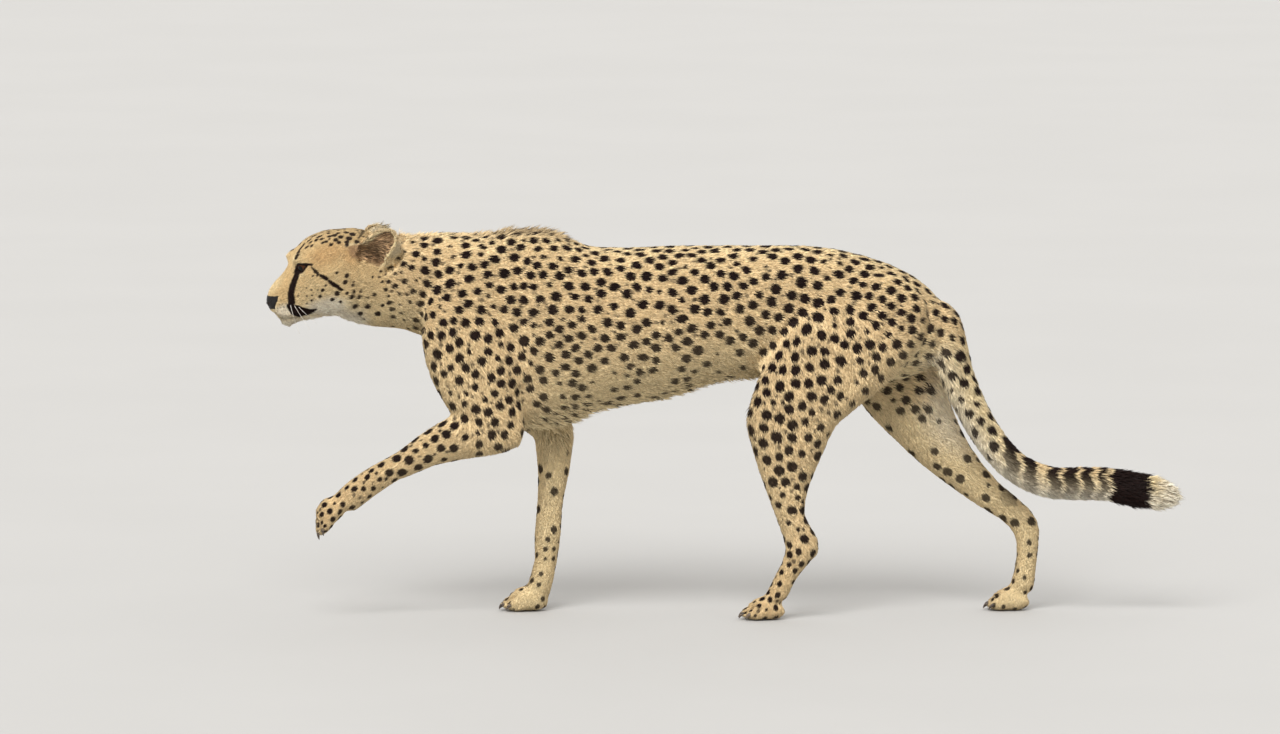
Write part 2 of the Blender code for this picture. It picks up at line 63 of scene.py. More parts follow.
# ---- Named places, read from the frame ----

HEAD_PITCH = math.radians(20)  # nose below level
HEAD_AHEAD = 10.5 * MM  # from the eyes' middles forward to the head's own origin
EYE_RADIUS = 16 * MM
EYE_TURN = math.radians(36)  # how far the eyes look out from straight ahead
LID_TILT = math.radians(12)  # outer corner of the eye above the inner one
LID_HALF_WIDTH, LID_UPPER, LID_LOWER = 0.80, 0.46, 0.36  # of the opening, in eye radii
LID_THICKNESS = 1.0 * MM
EAR_SIZE = Vector((42, 76, 84)) * MM  # depth, width, height
EAR_MIDDLES = {1: Vector((-150, 72, -18)) * MM, -1: Vector((-170, -69, -23)) * MM}
EAR_TIP, EAR_FACE = Vector((-0.80, 0.30, 0.50)), Vector((0.30, 0.95, 0.10))
EAR_OPENING = (  # its edge: back and down across, toward the tip, mm
    (-57, -38), (-36, -14), (-31, 0), (-28, 16), (-23, 30), (-12, 42), (3, 40), (11, 27), (15, 8), (16, -6),
    (22, -14), (18, -28), (-5, -40), (-35, -47),
)
EAR_RIM = EAR_OPENING[:12]  # without its foot
EAR_REACH = 75 * MM  # from an ear's middle to the farthest point that belongs to it
PAWS = {  # knuckle point over the sole, turn to the left and pitch of the toes in degrees, size
    "fore_left": (Vector((-0.7250, -0.0738, 0.196)), 4, 50, 1.0),
    "fore_right": (Vector((-0.3690, 0.0507, 0.0)), 2, 0, 1.0),
    "hind_left": (Vector((0.0840, -0.0693, 0.0)), 3, 0, 0.94),
    "hind_right": (Vector((0.5530, 0.0577, 0.0)), -4, 0, 0.94),
}
TOES = ((-23.5, 20), (-8, 32), (8, 32), (23.5, 20))  # sideways place and reach of each toe, mm
TOE_TIP = 15  # from a toe's reach to the root of its claw, mm
NOSE_PINCH = 0.20  # how much narrower the muzzle gets beside the nose
NOSE_HALF_WIDTH = 28 * MM * (1 - NOSE_PINCH)
NOSE_EDGE = ((90, -30), (74, -32), (54, -37.5), (55, -45), (59, -52), (67, -58), (90, -54))  # forward, up, mm

SKIN_CELL = 6.1 * MM  # cell of the weld that makes the skin
SKIN_SWELL = 0.35 * MM  # closes the thin cuts between the pieces before the weld
MARK_REACH = 6 * MM  # how far from a marking's edge its distance is still told apart


def middle_of(node):
    low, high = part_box(node)
    return (low + high) / 2


EYES = {1: middle_of("eye_left"), -1: middle_of("eye_right")}
ACROSS = (EYES[1] - EYES[-1]).normalized()
LEVEL = ACROSS.cross(Vector((0, 0, 1)))
AHEAD = LEVEL * math.cos(HEAD_PITCH) - Vector((0, 0, 1)) * math.sin(HEAD_PITCH)
HEAD_CENTRE = (EYES[1] + EYES[-1]) / 2 + AHEAD * HEAD_AHEAD
HEAD_AXES = np.array([AHEAD, ACROSS, AHEAD.cross(ACROSS)])  # rows: forward, to its left, up


def to_head(points):
    return (points - np.array(HEAD_CENTRE)) @ HEAD_AXES.T


def from_head(local):
    return np.asarray(local) @ HEAD_AXES + np.array(HEAD_CENTRE)


def folded(points):
    """Places in the head's frame with the right side laid over the left."""
    local = to_head(points)
    local[:, 1] = np.abs(local[:, 1])
    return local


def unit(vectors):
    return vectors / np.maximum(np.linalg.norm(vectors, axis=-1, keepdims=True), 1e-12)


def step(low, high, x):
    """0 below low, 1 above high and a smooth rise between."""
    t = np.clip((x - low) / (high - low), 0, 1)  # low may be the greater one
    return t * t * (3 - 2 * t)


# ---- Tables of the coat ----

TONES = {  # sRGB
    "tawny": (0.910, 0.803, 0.622),
    "gold": (0.945, 0.840, 0.655),
    "sand": (0.815, 0.705, 0.520),
    "rust": (0.750, 0.590, 0.390),
    "buff": (0.880, 0.770, 0.590),
    "cream": (0.900, 0.822, 0.652),
    "white": (0.950, 0.910, 0.830),
    "grey": (0.720, 0.665, 0.555),
    "mane": (0.420, 0.345, 0.260),
    "fawn": (0.640, 0.510, 0.375),
    "umber": (0.300, 0.215, 0.150),
    "ink": (0.105, 0.045, 0.030),
}

# Node: lie of the hair, its length, depth of the coat, radius and spacing of the spots (mm), tones of
# its upper, outer and under side
COAT = {
    "head": ((1.0, 0.0, -0.2), 7, 1.5, 2.2, 9, "sand", "sand", "cream"),
    "nose": ((1.0, 0.0, 0.2), 3, 1.0, 0.1, 90, "buff", "buff", "cream"),
    "ear_left": ((0.6, 0.0, 0.6), 7, 1.2, 0.1, 90, "buff", "buff", "grey"),
    "ear_right": ((0.6, 0.0, 0.6), 7, 1.2, 0.1, 90, "buff", "buff", "grey"),
    "neck": ((0.95, 0.0, -0.35), 13, 3.4, 7.2, 20, "tawny", "buff", "cream"),
    "trunk_front": ((1.0, 0.0, -0.25), 14, 3.8, 10.0, 23.8, "gold", "tawny", "cream"),
    "trunk_rear": ((1.0, 0.0, -0.30), 14, 3.8, 10.6, 24.6, "gold", "tawny", "cream"),
    "fore_left_upper": ((0.45, 0.0, -0.9), 12, 3.0, 10.2, 24.5, "tawny", "tawny", "cream"),
    "fore_left_forearm": ((-0.9, 0.0, -0.42), 9, 2.2, 9.6, 24.5, "tawny", "tawny", "cream"),
    "fore_left_paw": ((-0.68, 0.0, -0.73), 7, 1.8, 6.0, 17.5, "buff", "buff", "cream"),
    "fore_right_upper": ((0.4, 0.0, -0.9), 12, 3.0, 10.2, 24.5, "tawny", "tawny", "cream"),
    "fore_right_forearm": ((0.0, 0.0, -1.0), 9, 2.2, 9.6, 24.5, "tawny", "tawny", "cream"),
    "fore_right_paw": ((-0.5, 0.0, -0.85), 7, 1.8, 6.0, 17.5, "buff", "buff", "cream"),
    "hind_left_thigh": ((0.35, 0.0, -0.95), 13, 3.2, 11.8, 25.5, "tawny", "tawny", "cream"),
    "hind_left_shank": ((0.45, 0.0, -0.9), 10, 2.4, 10.6, 25.5, "tawny", "tawny", "cream"),
    "hind_left_paw": ((-0.35, 0.0, -0.95), 7, 1.8, 6.0, 18, "buff", "buff", "cream"),
    "hind_right_thigh": ((0.5, 0.0, -0.85), 13, 3.2, 11.8, 25.5, "tawny", "tawny", "cream"),
    "hind_right_shank": ((0.75, 0.0, -0.65), 10, 2.4, 10.6, 25.5, "tawny", "tawny", "cream"),
    "hind_right_paw": ((-0.25, 0.0, -0.95), 7, 1.8, 6.0, 18, "buff", "buff", "cream"),
    "tail_base": ((0.45, 0.0, -0.9), 15, 5.0, 10.8, 27, "gold", "cream", "white"),
    "tail_middle": ((0.85, 0.0, -0.5), 16, 6.0, 12.0, 29, "buff", "cream", "white"),
    "tail_end": ((1.0, 0.0, -0.1), 22, 8.0, 0.1, 90, "cream", "cream", "white"),
}
FLESH = sorted(COAT)

# Where the coat is longer: middle, half sizes, hair length and coat depth (mm), how loose it is from 0 to 1,
# and a lean given to its lie
LONG_COAT = (
    ((-0.400, 0.00, 0.745), (0.190, 0.050, 0.050), 33, 14, 1.0, (0.0, 0, 0.9)),  # mane over the withers
    ((-0.600, 0.00, 0.725), (0.110, 0.035, 0.035), 20, 9, 0.8, (0.0, 0, 0.4)),  # nape
    ((-0.300, 0.00, 0.375), (0.170, 0.100, 0.110), 28, 10, 1.0, (0.4, 0, -0.6)),  # chest
    ((0.000, 0.00, 0.415), (0.240, 0.120, 0.085), 28, 10, 0.9, (0.4, 0, -0.5)),  # belly
    ((0.220, 0.00, 0.455), (0.120, 0.060, 0.050), 20, 7, 0.5, (0.2, 0, -0.4)),  # groin
    ((-0.745, -0.01, 0.570), (0.120, 0.060, 0.035), 20, 5, 0.9, (0.3, 0, -0.5)),  # throat
    ((0.395, 0.00, 0.460), (0.060, 0.110, 0.110), 22, 6, 0.5, (0.2, 0, -0.2)),  # back of the thighs
    ((0.320, -0.08, 0.455), (0.085, 0.060, 0.050), 18, 5, 0.4, (0.5, 0, -0.3)),  # edge of the left thigh
    ((-0.690, -0.050, 0.620), (0.050, 0.035, 0.045), 13, 3, 0.3, (0.2, 0, -0.3)),  # ruff of the cheeks
    ((-0.713, 0.062, 0.620), (0.050, 0.035, 0.045), 13, 3, 0.3, (0.2, 0, -0.3)),
    ((-0.835, -0.02, 0.574), (0.040, 0.040, 0.020), 13, 3.2, 0.8, (0.2, 0, -0.5)),  # chin
    ((0.800, -0.01, 0.235), (0.110, 0.060, 0.060), 28, 9, 0.6, (0.0, 0, -0.1)),  # end of the tail
)

# Washes of colour. Body: middle, half sizes (m), tone, strength
WASHES = (
    ((-0.400, 0.00, 0.755), (0.185, 0.060, 0.050), "mane", 0.88),  # mane
    ((-0.330, 0.00, 0.370), (0.190, 0.090, 0.075), "cream", 0.90),  # chest
    ((0.000, 0.00, 0.415), (0.260, 0.085, 0.060), "cream", 0.95),  # belly
    ((0.200, 0.00, 0.470), (0.150, 0.060, 0.080), "cream", 0.90),  # groin
    ((-0.570, 0.00, 0.470), (0.060, 0.060, 0.080), "cream", 0.60),  # front of the chest
    ((0.430, 0.00, 0.480), (0.050, 0.050, 0.110), "cream", 0.50),  # under the tail
    ((0.480, 0.03, 0.400), (0.130, 0.060, 0.130), "white", 0.70),  # inside of the right thigh
    ((0.845, -0.01, 0.230), (0.040, 0.060, 0.060), "white", 0.90),  # tail tuft
    ((0.620, -0.02, 0.225), (0.260, 0.050, 0.030), "white", 0.80),  # under the tail's end
)
# Head: middle and half sizes in mm (forward, sideways, up), tone, strength; alike on both sides
HEAD_WASHES = (
    ((56, 24, -66), (30, 24, 17), "white", 0.80),  # upper lip
    ((44, 0, -104), (58, 44, 38), "white", 0.95),  # chin
    ((-30, 20, -120), (90, 60, 34), "white", 0.92),  # throat
    ((-20, 46, -84), (62, 34, 28), "white", 0.92),  # cheek
    ((2, 34, 22), (13, 12, 8), "cream", 0.55),  # over the eye
    ((4, 38, -13), (14, 12, 8), "cream", 0.55),  # under the eye
    ((-52, 54, 8), (44, 24, 26), "rust", 0.50),  # temple
    ((-92, 66, -8), (22, 22, 24), "rust", 0.45),  # before the ear
    ((54, 0, -22), (34, 26, 24), "cream", 0.60),  # bridge of the nose
)

# Lines on the face in mm (forward, up), as seen from the side, with their width at each point, and how dark
FACE_LINES = (
    ("tear mark", ((3, 5, 9), (10, -7, 8.5), (20, -18, 9.5), (28.5, -29, 11), (35, -40, 12.5), (39, -54, 13.5)),
     1.0),
    ("inner corner", ((2, 10, 4), (5, 4, 8), (3, -3, 8)), 1.0),
    ("upper lid", ((3, 10, 4), (-5, 7, 5), (-19, 2, 4.5)), 1.0),
    ("lip", ((77, -64, 1.4), (70, -77, 1.6), (57, -82, 1.8), (41, -86, 2.2), (28, -89, 2)), 0.55),
    ("mouth corner", ((45, -60, 11), (39, -70, 21), (29, -79, 21), (13, -84, 12), (1, -83, 3)), 1.0),
    ("outer line", ((-17, -3, 3), (-21, -13, 7), (-23, -18, 6)), 0.97),
    ("outer line", ((-27, -22, 6), (-32, -28, 8.4), (-35, -32, 7)), 1.0),
    ("outer line", ((-38, -38, 6), (-43, -46, 9), (-48, -52, 8)), 1.0),
    ("outer line", ((-50, -56, 6.4), (-54, -61, 6.4)), 1.0),
    # The ear fold line is painted shade in the crease before the ear's foot.
    ("ear fold", ((-122, 14, 4), (-136, 19, 5)), 0.8),
)
# Spots of the face: place (forward, aside, up) and radius, in mm; those of the other side are shifted a little
FACE_SPOTS = (
    (-21, 65, -49, 3.7), (-28, 68, -42, 2.5), (-13, 59, -60, 3.4), (-43, 69, -65, 5.1), (-34, 63, -73, 4),
    (-46, 65, -83, 3.4), (-60, 72, -70, 3.3), (-68, 71, -82, 5), (-76, 71, -73, 4.1), (-83, 68, -87, 4.3),
    (-88, 70, -78, 3.5), (-68, 62, -100, 5.9), (-73, 55, -119, 5.4), (-93, 68, -109, 5.1),
    (-77, 46, -132, 3.4), (-71, 74, -40, 4.4), (-66, 74, -51, 4.5), (-58, 74, -27, 2.9),
    (-77, 72, -61, 3.1), (-81, 73, -55, 2.1), (-110, 77, -91, 3.7), (-118, 78, -61, 2.6),
    (-96, 71, -91, 2.3), (4, 51, -63, 2.8), (13, 45, -66, 2), (9, 49, -52, 1.8), (-2, 56, -43, 2.1),
    (5, 51, -37, 1.7), (0, 54, -53, 2.1), (-12, 61, -46, 1.7), (23, 40, -46, 1.7), (-13, 60, -18, 2.1),
    (-19, 64, -21, 1.8), (-128, 79, -116, 4.5), (-117, 76, -118, 3.5), (-105, 67, -130, 5.9),
    (-47, 29, 38, 3.9), (-55, 34, 37, 4), (-62, 34, 37, 2.1), (-56, 44, 30, 3.2), (-62, 43, 31, 3.7),
    (-70, 41, 32, 2.4), (-67, 52, 23, 3.8), (-75, 22, 40, 3.5), (-73, 32, 36, 4.4), (-81, 33, 34, 5),
    (-89, 27, 35, 4), (-79, 45, 28, 5.1), (-82, 50, 22, 4.1), (-92, 40, 28, 5.4), (-95, 12, 37, 3.2),
    (-105, 26, 30, 5.5), (-107, 10, 33, 3.2), (-116, 32, 23, 6.5), (-105, 43, 19, 6.2), (-98, 51, 15, 4.9),
    (-94, 55, 11, 3.8), (-117, 48, 9, 5.1), (-138, 7, 18, 5.1), (-35, 26, 38, 3.4), (-35, 36, 33, 3.4),
    (1, 40, 22, 3.2), (-2, 37, 25, 3.9), (-5, 31, 27, 4.1), (-8, 25, 28.5, 4.1), (-12, 20, 30.5, 3.8),
    (-17, 17, 33, 4.1), (-23, 15, 36, 3.5),
)
# Rows of dots on the whisker pads: first and last (forward, up), mm
WHISKER_ROWS = (((66, -44), (40, -46)), ((67, -51), (38, -54)), ((66, -58), (37, -62)), ((62, -65), (40, -70)))
# Roots of the long ones (forward, aside, up) and how far back each leans
WHISKERS = ((43.5, 36, -57.5, 0.00), (37.5, 37, -61.5, 0.24), (31, 37, -66.5, 0.52))
# Bands of the tail: start and end along X
TAIL_BANDS = ((0.535, 0.562), (0.573, 0.597), (0.620, 0.641), (0.649, 0.674), (0.683, 0.703),
              (0.716, 0.731), (0.741, 0.815))

# Strokes that model the skin, in mm: path, reach to either side, height (below 0 carves).
# Head: forward, sideways, up, alike on both sides
HEAD_STROKES = (
    (((12, 0, 12), (45, 0, -8), (64, 0, -22)), 11, 0.9),  # bridge of the nose
    (((9, 20, -3), (24, 22, -18), (36, 26, -38)), 9, -1.8),  # valley of the tear mark
    (((60, 16, -48), (44, 28, -56)), 18, 2.0),  # whisker pad
    (((79, 0, -55), (77, 0, -66)), 2.4, -1.6),  # cleft under the nose
    (((77, 1, -65), (69, 18, -77), (56, 29, -82), (40, 35, -86), (27, 41, -90)), 2.6, -2.0),  # mouth
    (((76, 8, -60), (66, 23, -70), (53, 31, -75), (38, 36, -77)), 8, 1.8),  # upper lip
    (((70, 4, -88), (50, 24, -94), (26, 34, -94)), 7, 0.8),  # lower lip
    (((60, 0, -94),), 16, 1.2),  # chin
    (((6, 24, 15), (-6, 36, 19), (-20, 45, 15)), 9, 0.8),  # brow
    (((14, 24, -8), (2, 38, -15), (-16, 50, -10)), 7, -1.4),  # hollow under the eye
    (((-8, 52, -22), (-40, 68, -26), (-76, 75, -20)), 13, 1.8),  # cheekbone
    (((-44, 60, 14), (-70, 66, 16)), 20, -1.6),  # temple
    (((-14, 0, 36), (-64, 0, 48)), 9, -0.8),  # crease of the forehead
    (((-58, 66, -72),), 30, 2.0),  # jaw muscle
    (((-112, 62, -50), (-104, 46, -108), (-96, 0, -134)), 15, -2.4),  # behind the jaw
)
NOSE_STROKES = (
    (((80, 6, -46), (76, 9.5, -44), (71, 12.5, -42)), 3.2, -4.5),  # nostril
    (((84, 0, -36), (84, 0, -58)), 1.6, -1.0),  # middle line
)
# Body: places as they are on the left, and whether the right side gets the like
BODY_STROKES = (
    (((-290, 0, 725), (0, 0, 700), (250, 0, 700), (380, 0, 645)), 15, 1.4, True),  # spine
    (((-460, -62, 715), (-505, -88, 620), (-520, -100, 540)), 17, 3.0, True),  # shoulder blade
    (((-395, -85, 705), (-372, -104, 610), (-385, -112, 500)), 28, -4.0, True),  # behind it
    (((-500, -112, 560), (-462, -124, 460), (-440, -124, 400)), 14, -2.4, True),  # before the triceps
    (((-548, -48, 705), (-565, -62, 630), (-556, -66, 530)), 18, -2.6, True),  # neck and shoulder
    (((28, -82, 470), (78, -88, 505), (110, -92, 570)), 14, 2.4, False),  # flank fold
    (((120, -84, 610),), 60, -3.0, True),  # flank
    (((185, -58, 668),), 24, 3.0, True),  # hip
    (((335, -92, 610), (275, -112, 490), (180, -112, 385)), 15, -2.2, False),  # hamstring
    (((128, -104, 262), (150, -100, 215), (172, -96, 180)), 8, -3.4, False),  # before the heel cord
    (((440, 100, 300), (500, 92, 240), (540, 88, 205)), 9, -3.0, False),
    (((-528, -112, 345), (-600, -104, 300)), 8, -1.4, False),  # forearm tendons
    (((-325, 102, 330), (-328, 92, 220)), 8, -1.4, False),
)
RIBS, RIB_STEP, RIB_START = 7, 44, -300  # faint ribs: how many, how far apart, X of the first, mm


# ---- Small tools ----

def deselect():
    bpy.ops.object.select_all(action="DESELECT")


def choose(subject):
    """Makes the object the only selected one, and active."""
    deselect()
    subject.select_set(True)
    bpy.context.view_layer.objects.active = subject


def edit_faces(subject, chosen):
    """Goes into edit mode with only the chosen faces selected."""
    mesh = subject.data
    for items in (mesh.vertices, mesh.edges):
        items.foreach_set("select", np.zeros(len(items), bool))
    mesh.polygons.foreach_set("select", chosen)
    choose(subject)
    bpy.context.tool_settings.mesh_select_mode = (False, False, True)
    bpy.ops.object.mode_set(mode="EDIT")


def apply_all(subject):
    choose(subject)
    for modifier in list(subject.modifiers):
        bpy.ops.object.modifier_apply(modifier=modifier.name)


def linked(name, mesh):
    made = bpy.data.objects.new(name, mesh)
    bpy.context.scene.collection.objects.link(made)
    return made


def read(items, name, width=1, kind=np.float32):
    found = np.empty(len(items) * width, kind)
    items.foreach_get(name, found)
    found = found.astype(np.float64) if kind is np.float32 else found
    return found.reshape(-1, width) if width > 1 else found


def attribute(mesh, name, values):
    """Keeps one number, vector or colour for each vertex of the mesh."""
    width = 1 if values.ndim == 1 else values.shape[1]
    kind, field = {1: ("FLOAT", "value"), 3: ("FLOAT_VECTOR", "vector"), 4: ("FLOAT_COLOR", "color")}[width]
    made = mesh.attributes.get(name) or mesh.attributes.new(name, kind, "POINT")
    made.data.foreach_set(field, np.ascontiguousarray(values, np.float32).ravel())


def kept(mesh, name, width=1):
    field = {1: "value", 3: "vector", 4: "color"}[width]
    return read(mesh.attributes[name].data, field, width)


def tree_of(points, marks=None):
    """A tree that finds the nearest points and answers with their marks, or else with their numbers."""
    tree = KDTree(len(points))
    for place, mark in zip(points.tolist(), range(len(points)) if marks is None else marks):
        tree.insert(place, int(mark))
    tree.balance()
    return tree


def linear(tone):
    """An sRGB colour as the linear one that a shader takes."""
    tone = np.asarray(tone, float)
    return np.where(tone <= 0.04045, tone / 12.92, ((tone + 0.055) / 1.055) ** 2.4)


class Surface:
    """A mesh's points and how they join, for moving them all at once."""

    def __init__(self, subject):
        self.mesh = subject.data
        self.points = read(self.mesh.vertices, "co", 3)
        ends = read(self.mesh.edges, "vertices", 2, np.int32)
        start = np.concatenate([ends[:, 0], ends[:, 1]])
        order = np.argsort(start, kind="stable")
        self.neighbour = np.concatenate([ends[:, 1], ends[:, 0]])[order]
        self.count = np.bincount(start, minlength=len(self.points))
        self.first = np.concatenate([[0], np.cumsum(self.count)[:-1]])

    def normals(self):
        return read(self.mesh.vertices, "normal", 3)

    def mean(self, values):
        """Each point's mean over its neighbours."""
        total = np.add.reduceat(values[self.neighbour], np.minimum(self.first, len(self.neighbour) - 1))
        count = np.maximum(self.count, 1)
        return total / (count[:, None] if values.ndim > 1 else count)

    def spread(self, values, rounds):
        for _ in range(rounds):
            values = 0.5 * values + 0.5 * self.mean(values)
        return values

    def relax(self, rounds, share=1.0):
        """Evens the surface without shrinking it: each round smooths, and then pushes back."""
        share = share[:, None] if isinstance(share, np.ndarray) else share
        for _ in range(rounds):
            for pull in (0.5, -0.53):
                self.points = self.points + share * pull * (self.mean(self.points) - self.points)
        self.store()

    def store(self):
        self.mesh.vertices.foreach_set("co", self.points.astype(np.float32).ravel())
        self.mesh.update()


def distance_to_path(points, path):
    """Each point's distance to a path of one or more points, and how far along it the nearest place is."""
    path = np.asarray(path, float)
    if len(path) == 1:
        return np.linalg.norm(points - path[0], axis=1), np.zeros(len(points))
    best, along = np.full(len(points), 1e9), np.zeros(len(points))
    for k, (start, end) in enumerate(zip(path, path[1:])):
        run = end - start
        t = np.clip((points - start) @ run / (run @ run), 0, 1)
        d = np.linalg.norm(points - start - t[:, None] * run, axis=1)
        nearer = d < best
        best, along = np.where(nearer, d, best), np.where(nearer, k + t, along)
    return best, along


def sculpt(surface, places, strokes):
    """Raises or carves the skin along each stroke, given the places of its points in the strokes' own frame."""
    normals = surface.normals()
    for path, reach, height in strokes:
        path = np.asarray(path, float) * MM
        near = ((places > path.min(0) - reach * MM) & (places < path.max(0) + reach * MM)).all(1).nonzero()[0]
        if len(near):
            d, _ = distance_to_path(places[near], path)
            fall = np.clip(1 - (d / (reach * MM)) ** 2, 0, 1) ** 2
            surface.points[near] += normals[near] * (height * MM * fall)[:, None]
    surface.store()


# ---- Skin ----

def ear_frame(side):
    """Rows: the way the ear faces, across it and toward its tip; and its middle."""
    mirror = Matrix.Diagonal((1, side, 1))
    tip = (mirror @ EAR_TIP).normalized()
    face = mirror @ EAR_FACE
    face = (face - tip * face.dot(tip)).normalized()
    rows = np.array([face, tip.cross(face), tip]) @ HEAD_AXES
    return rows, from_head(EAR_MIDDLES[side])


def paw_axes(leg):
    """Rows: forward, left and up from the knuckles of a paw; its place and its size."""
    place, heading, pitch, size = PAWS[leg]
    turn = Matrix.Rotation(math.radians(heading), 3, "Z") @ Matrix.Rotation(-math.radians(pitch), 3, "Y")
    return np.array((turn @ Matrix.Diagonal((-1, -1, 1))).transposed()), np.array(place), size


def weld_flesh():
    """All the flesh as one closed surface, with the eyes and the ears' hollows still filled."""
    work = bmesh.new()
    for name in FLESH + ["eye_left", "eye_right"]:
        work.from_mesh(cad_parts[name].data)
    bmesh.ops.remove_doubles(work, verts=work.verts[:], dist=0.01 * MM)
    for side in (1, -1):
        rows, middle = ear_frame(side)
        place = Matrix.Translation(middle) @ Matrix(rows.T).to_4x4() @ Matrix.Diagonal((*EAR_SIZE * 0.485, 1))
        bmesh.ops.create_icosphere(work, subdivisions=3, radius=1, matrix=place)
    mesh = bpy.data.meshes.new("skin")
    work.to_mesh(mesh)
    work.free()
    skin = linked("skin", mesh)
    swell = skin.modifiers.new("swell", "DISPLACE")
    swell.strength, swell.mid_level = SKIN_SWELL, 0
    weld = skin.modifiers.new("weld", "REMESH")
    weld.mode, weld.voxel_size = "VOXEL", SKIN_CELL
    apply_all(skin)
    return skin


def refine(skin, wanted):
    """Halves the faces for whose middles wanted is true."""
    edit_faces(skin, wanted(read(skin.data.polygons, "center", 3)))
    bpy.ops.mesh.subdivide(number_cuts=1, ngon=False)
    bpy.ops.object.mode_set(mode="OBJECT")


def near_head(points):
    """About the head and the front of the neck."""
    local = to_head(points)
    return (local[:, 0] > -0.215) & (np.abs(local[:, 1]) < 0.13) & (local[:, 2] > -0.16)


def near_paws(points):
    found = np.zeros(len(points), bool)
    for leg in PAWS:
        rows, place, size = paw_axes(leg)
        local = (points - place) @ rows.T / size
        found |= ((local > (-0.03, -0.05, -np.inf)) & (local < (0.09, 0.05, 0.06))).all(1)
    return found


def near_features(points):
    """About the eyes, nose, mouth and the hollows of the ears."""
    local = to_head(points)
    found = (local[:, 0] > 0.0) & (local[:, 2] < -0.018) & (local[:, 2] > -0.098)
    for side in (1, -1):
        found |= np.linalg.norm(points - np.array(EYES[side]), axis=1) < 0.026
        rows, middle = ear_frame(side)
        q = (points - middle) @ rows.T
        across = np.hypot(q[:, 1] / EAR_SIZE[1], q[:, 2] / EAR_SIZE[2])
        found |= (q[:, 0] > 0.002) & (q[:, 0] < 0.03) & (across < 0.52)
    return found & (local[:, 0] > -0.215)


def model_toes(surface):
    """Parts the toes with grooves and raises their knuckles."""
    for leg in PAWS:
        rows, place, size = paw_axes(leg)
        local = (surface.points - place) @ rows.T / size
        between = [
            (((12, y, 36), (34, y * 1.02, 27), (52, y * 1.05, 14), (56, y * 1.05, 2)), 5.2, -5.6)
            for y in (-15.8, 0, 15.8)
        ]
        knuckles = [(((reach - 2, y, 31),), 9, 1.8) for y, reach in TOES]
        sculpt(surface, local, between + knuckles)


def narrow_nose(surface):
    """Draws the muzzle in beside the nose."""
    local = to_head(surface.points)
    share = step(0.036, 0.062, local[:, 0]) * step(-0.078, -0.056, local[:, 2])
    share *= np.abs(local[:, 1]) < 0.06
    local[:, 1] *= 1 - NOSE_PINCH * share
    chosen = share > 0
    surface.points[chosen] = from_head(local[chosen])
    surface.store()


def in_opening(q):
    """How far places in an ear's frame are from the edge of its opening, below 0 inside."""
    edge = np.array(EAR_OPENING + EAR_OPENING[:1], float) * MM
    distance, _ = distance_to_path(q[:, 1:], edge)
    inside = np.zeros(len(q), bool)
    for (y, z), (t, w) in zip(edge, edge[1:]):
        crosses = (q[:, 2] >= min(z, w)) & (q[:, 2] < max(z, w))
        inside ^= crosses & (q[:, 1] < y + (q[:, 2] - z) * (t - y) / ((w - z) or 1e-9))
    return np.where(inside, -distance, distance)


def ear_places(points, side):
    """Places in an ear's frame: the way it faces, back and down across it, and toward its tip."""
    rows, middle = ear_frame(side)
    return (points - middle) @ rows.T * (1, side, 1)


def model_ears(surface):
    """Makes each ear a thin bowl with a rim, and returns how deep in a bowl each point lies, from 0 to 1."""
    hollow = np.zeros(len(surface.points))
    for side in (1, -1):
        rows, middle = ear_frame(side)
        q = ear_places(surface.points, side)
        near = np.linalg.norm(q, axis=1) < EAR_REACH
        if side > 0:
            peak = 5 * MM * step(0.010, 0.042, q[:, 2]) * np.exp(-(((q[:, 1] + 0.010) / 0.016) ** 2))
        else:
            peak = -0.16 * np.maximum(q[:, 2] + 0.020, 0)  # this ear is held lower
        q[:, 2] += np.where(near, peak, 0)
        r = np.hypot(q[:, 1] / EAR_SIZE[1], q[:, 2] / EAR_SIZE[2]) * 2
        far = in_opening(q)
        free = step(-0.030, 0.0, q[:, 2] + 0.5 * q[:, 1])  # 1 where the ear stands free of the head
        bowl = 1 - np.exp(far / 0.0065)
        floor = 0.0105 - bowl * (0.019 + 0.009 * np.clip(-q[:, 2] / 0.025, -0.6, 1))
        slope = 0.0105 - np.maximum(far - 0.0022, 0) * 1.1 * free + 0.03 * (1 - free) * step(0, 0.006, far)
        top = np.where(far < 0, floor, slope)
        front = near & (q[:, 0] > -0.016 - 0.01 * (far < 0)) & (r < 1.12)
        drop = np.where(front, np.maximum(q[:, 0] - top, 0), 0)
        behind = near & (q[:, 0] < -0.004) & (r < 1.1) & (drop == 0)
        lift = np.where(behind, np.maximum(floor - 0.0055 - q[:, 0], 0) * free * (far < 0.004), 0)
        q[:, 0] += np.minimum(lift, 0.012) - drop
        surface.points[near] = (q[near] * (1, side, 1)) @ rows + middle
        hollow = np.maximum(hollow, np.where(near & (far < 0) & (drop > 0), np.clip(-far / 0.006, 0, 1), 0))
    surface.store()
    return hollow


def body_strokes():
    strokes = []
    for path, reach, height, both in BODY_STROKES:
        strokes.append((path, reach, height))
        if both and any(point[1] for point in path):
            strokes.append((tuple((x, -y, z) for x, y, z in path), reach, height))
    for k in range(RIBS):
        x = RIB_START + k * RIB_STEP
        for side in (-110, 110):
            strokes.append((((x, side, 650), (x + 22, side, 580), (x + 60, side, 500)), 12, 1.0))
    return strokes


def eye_axes(side):
    """Rows: the way the eye looks, toward its outer corner and over it."""
    gaze = AHEAD * math.cos(EYE_TURN) + ACROSS * side * math.sin(EYE_TURN)
    out = ACROSS * side * math.cos(EYE_TURN) - AHEAD * math.sin(EYE_TURN)
    over = Vector(HEAD_AXES[2])
    outward = out * math.cos(LID_TILT) + over * math.sin(LID_TILT)
    return np.array([gaze, outward, over * math.cos(LID_TILT) - out * math.sin(LID_TILT)])


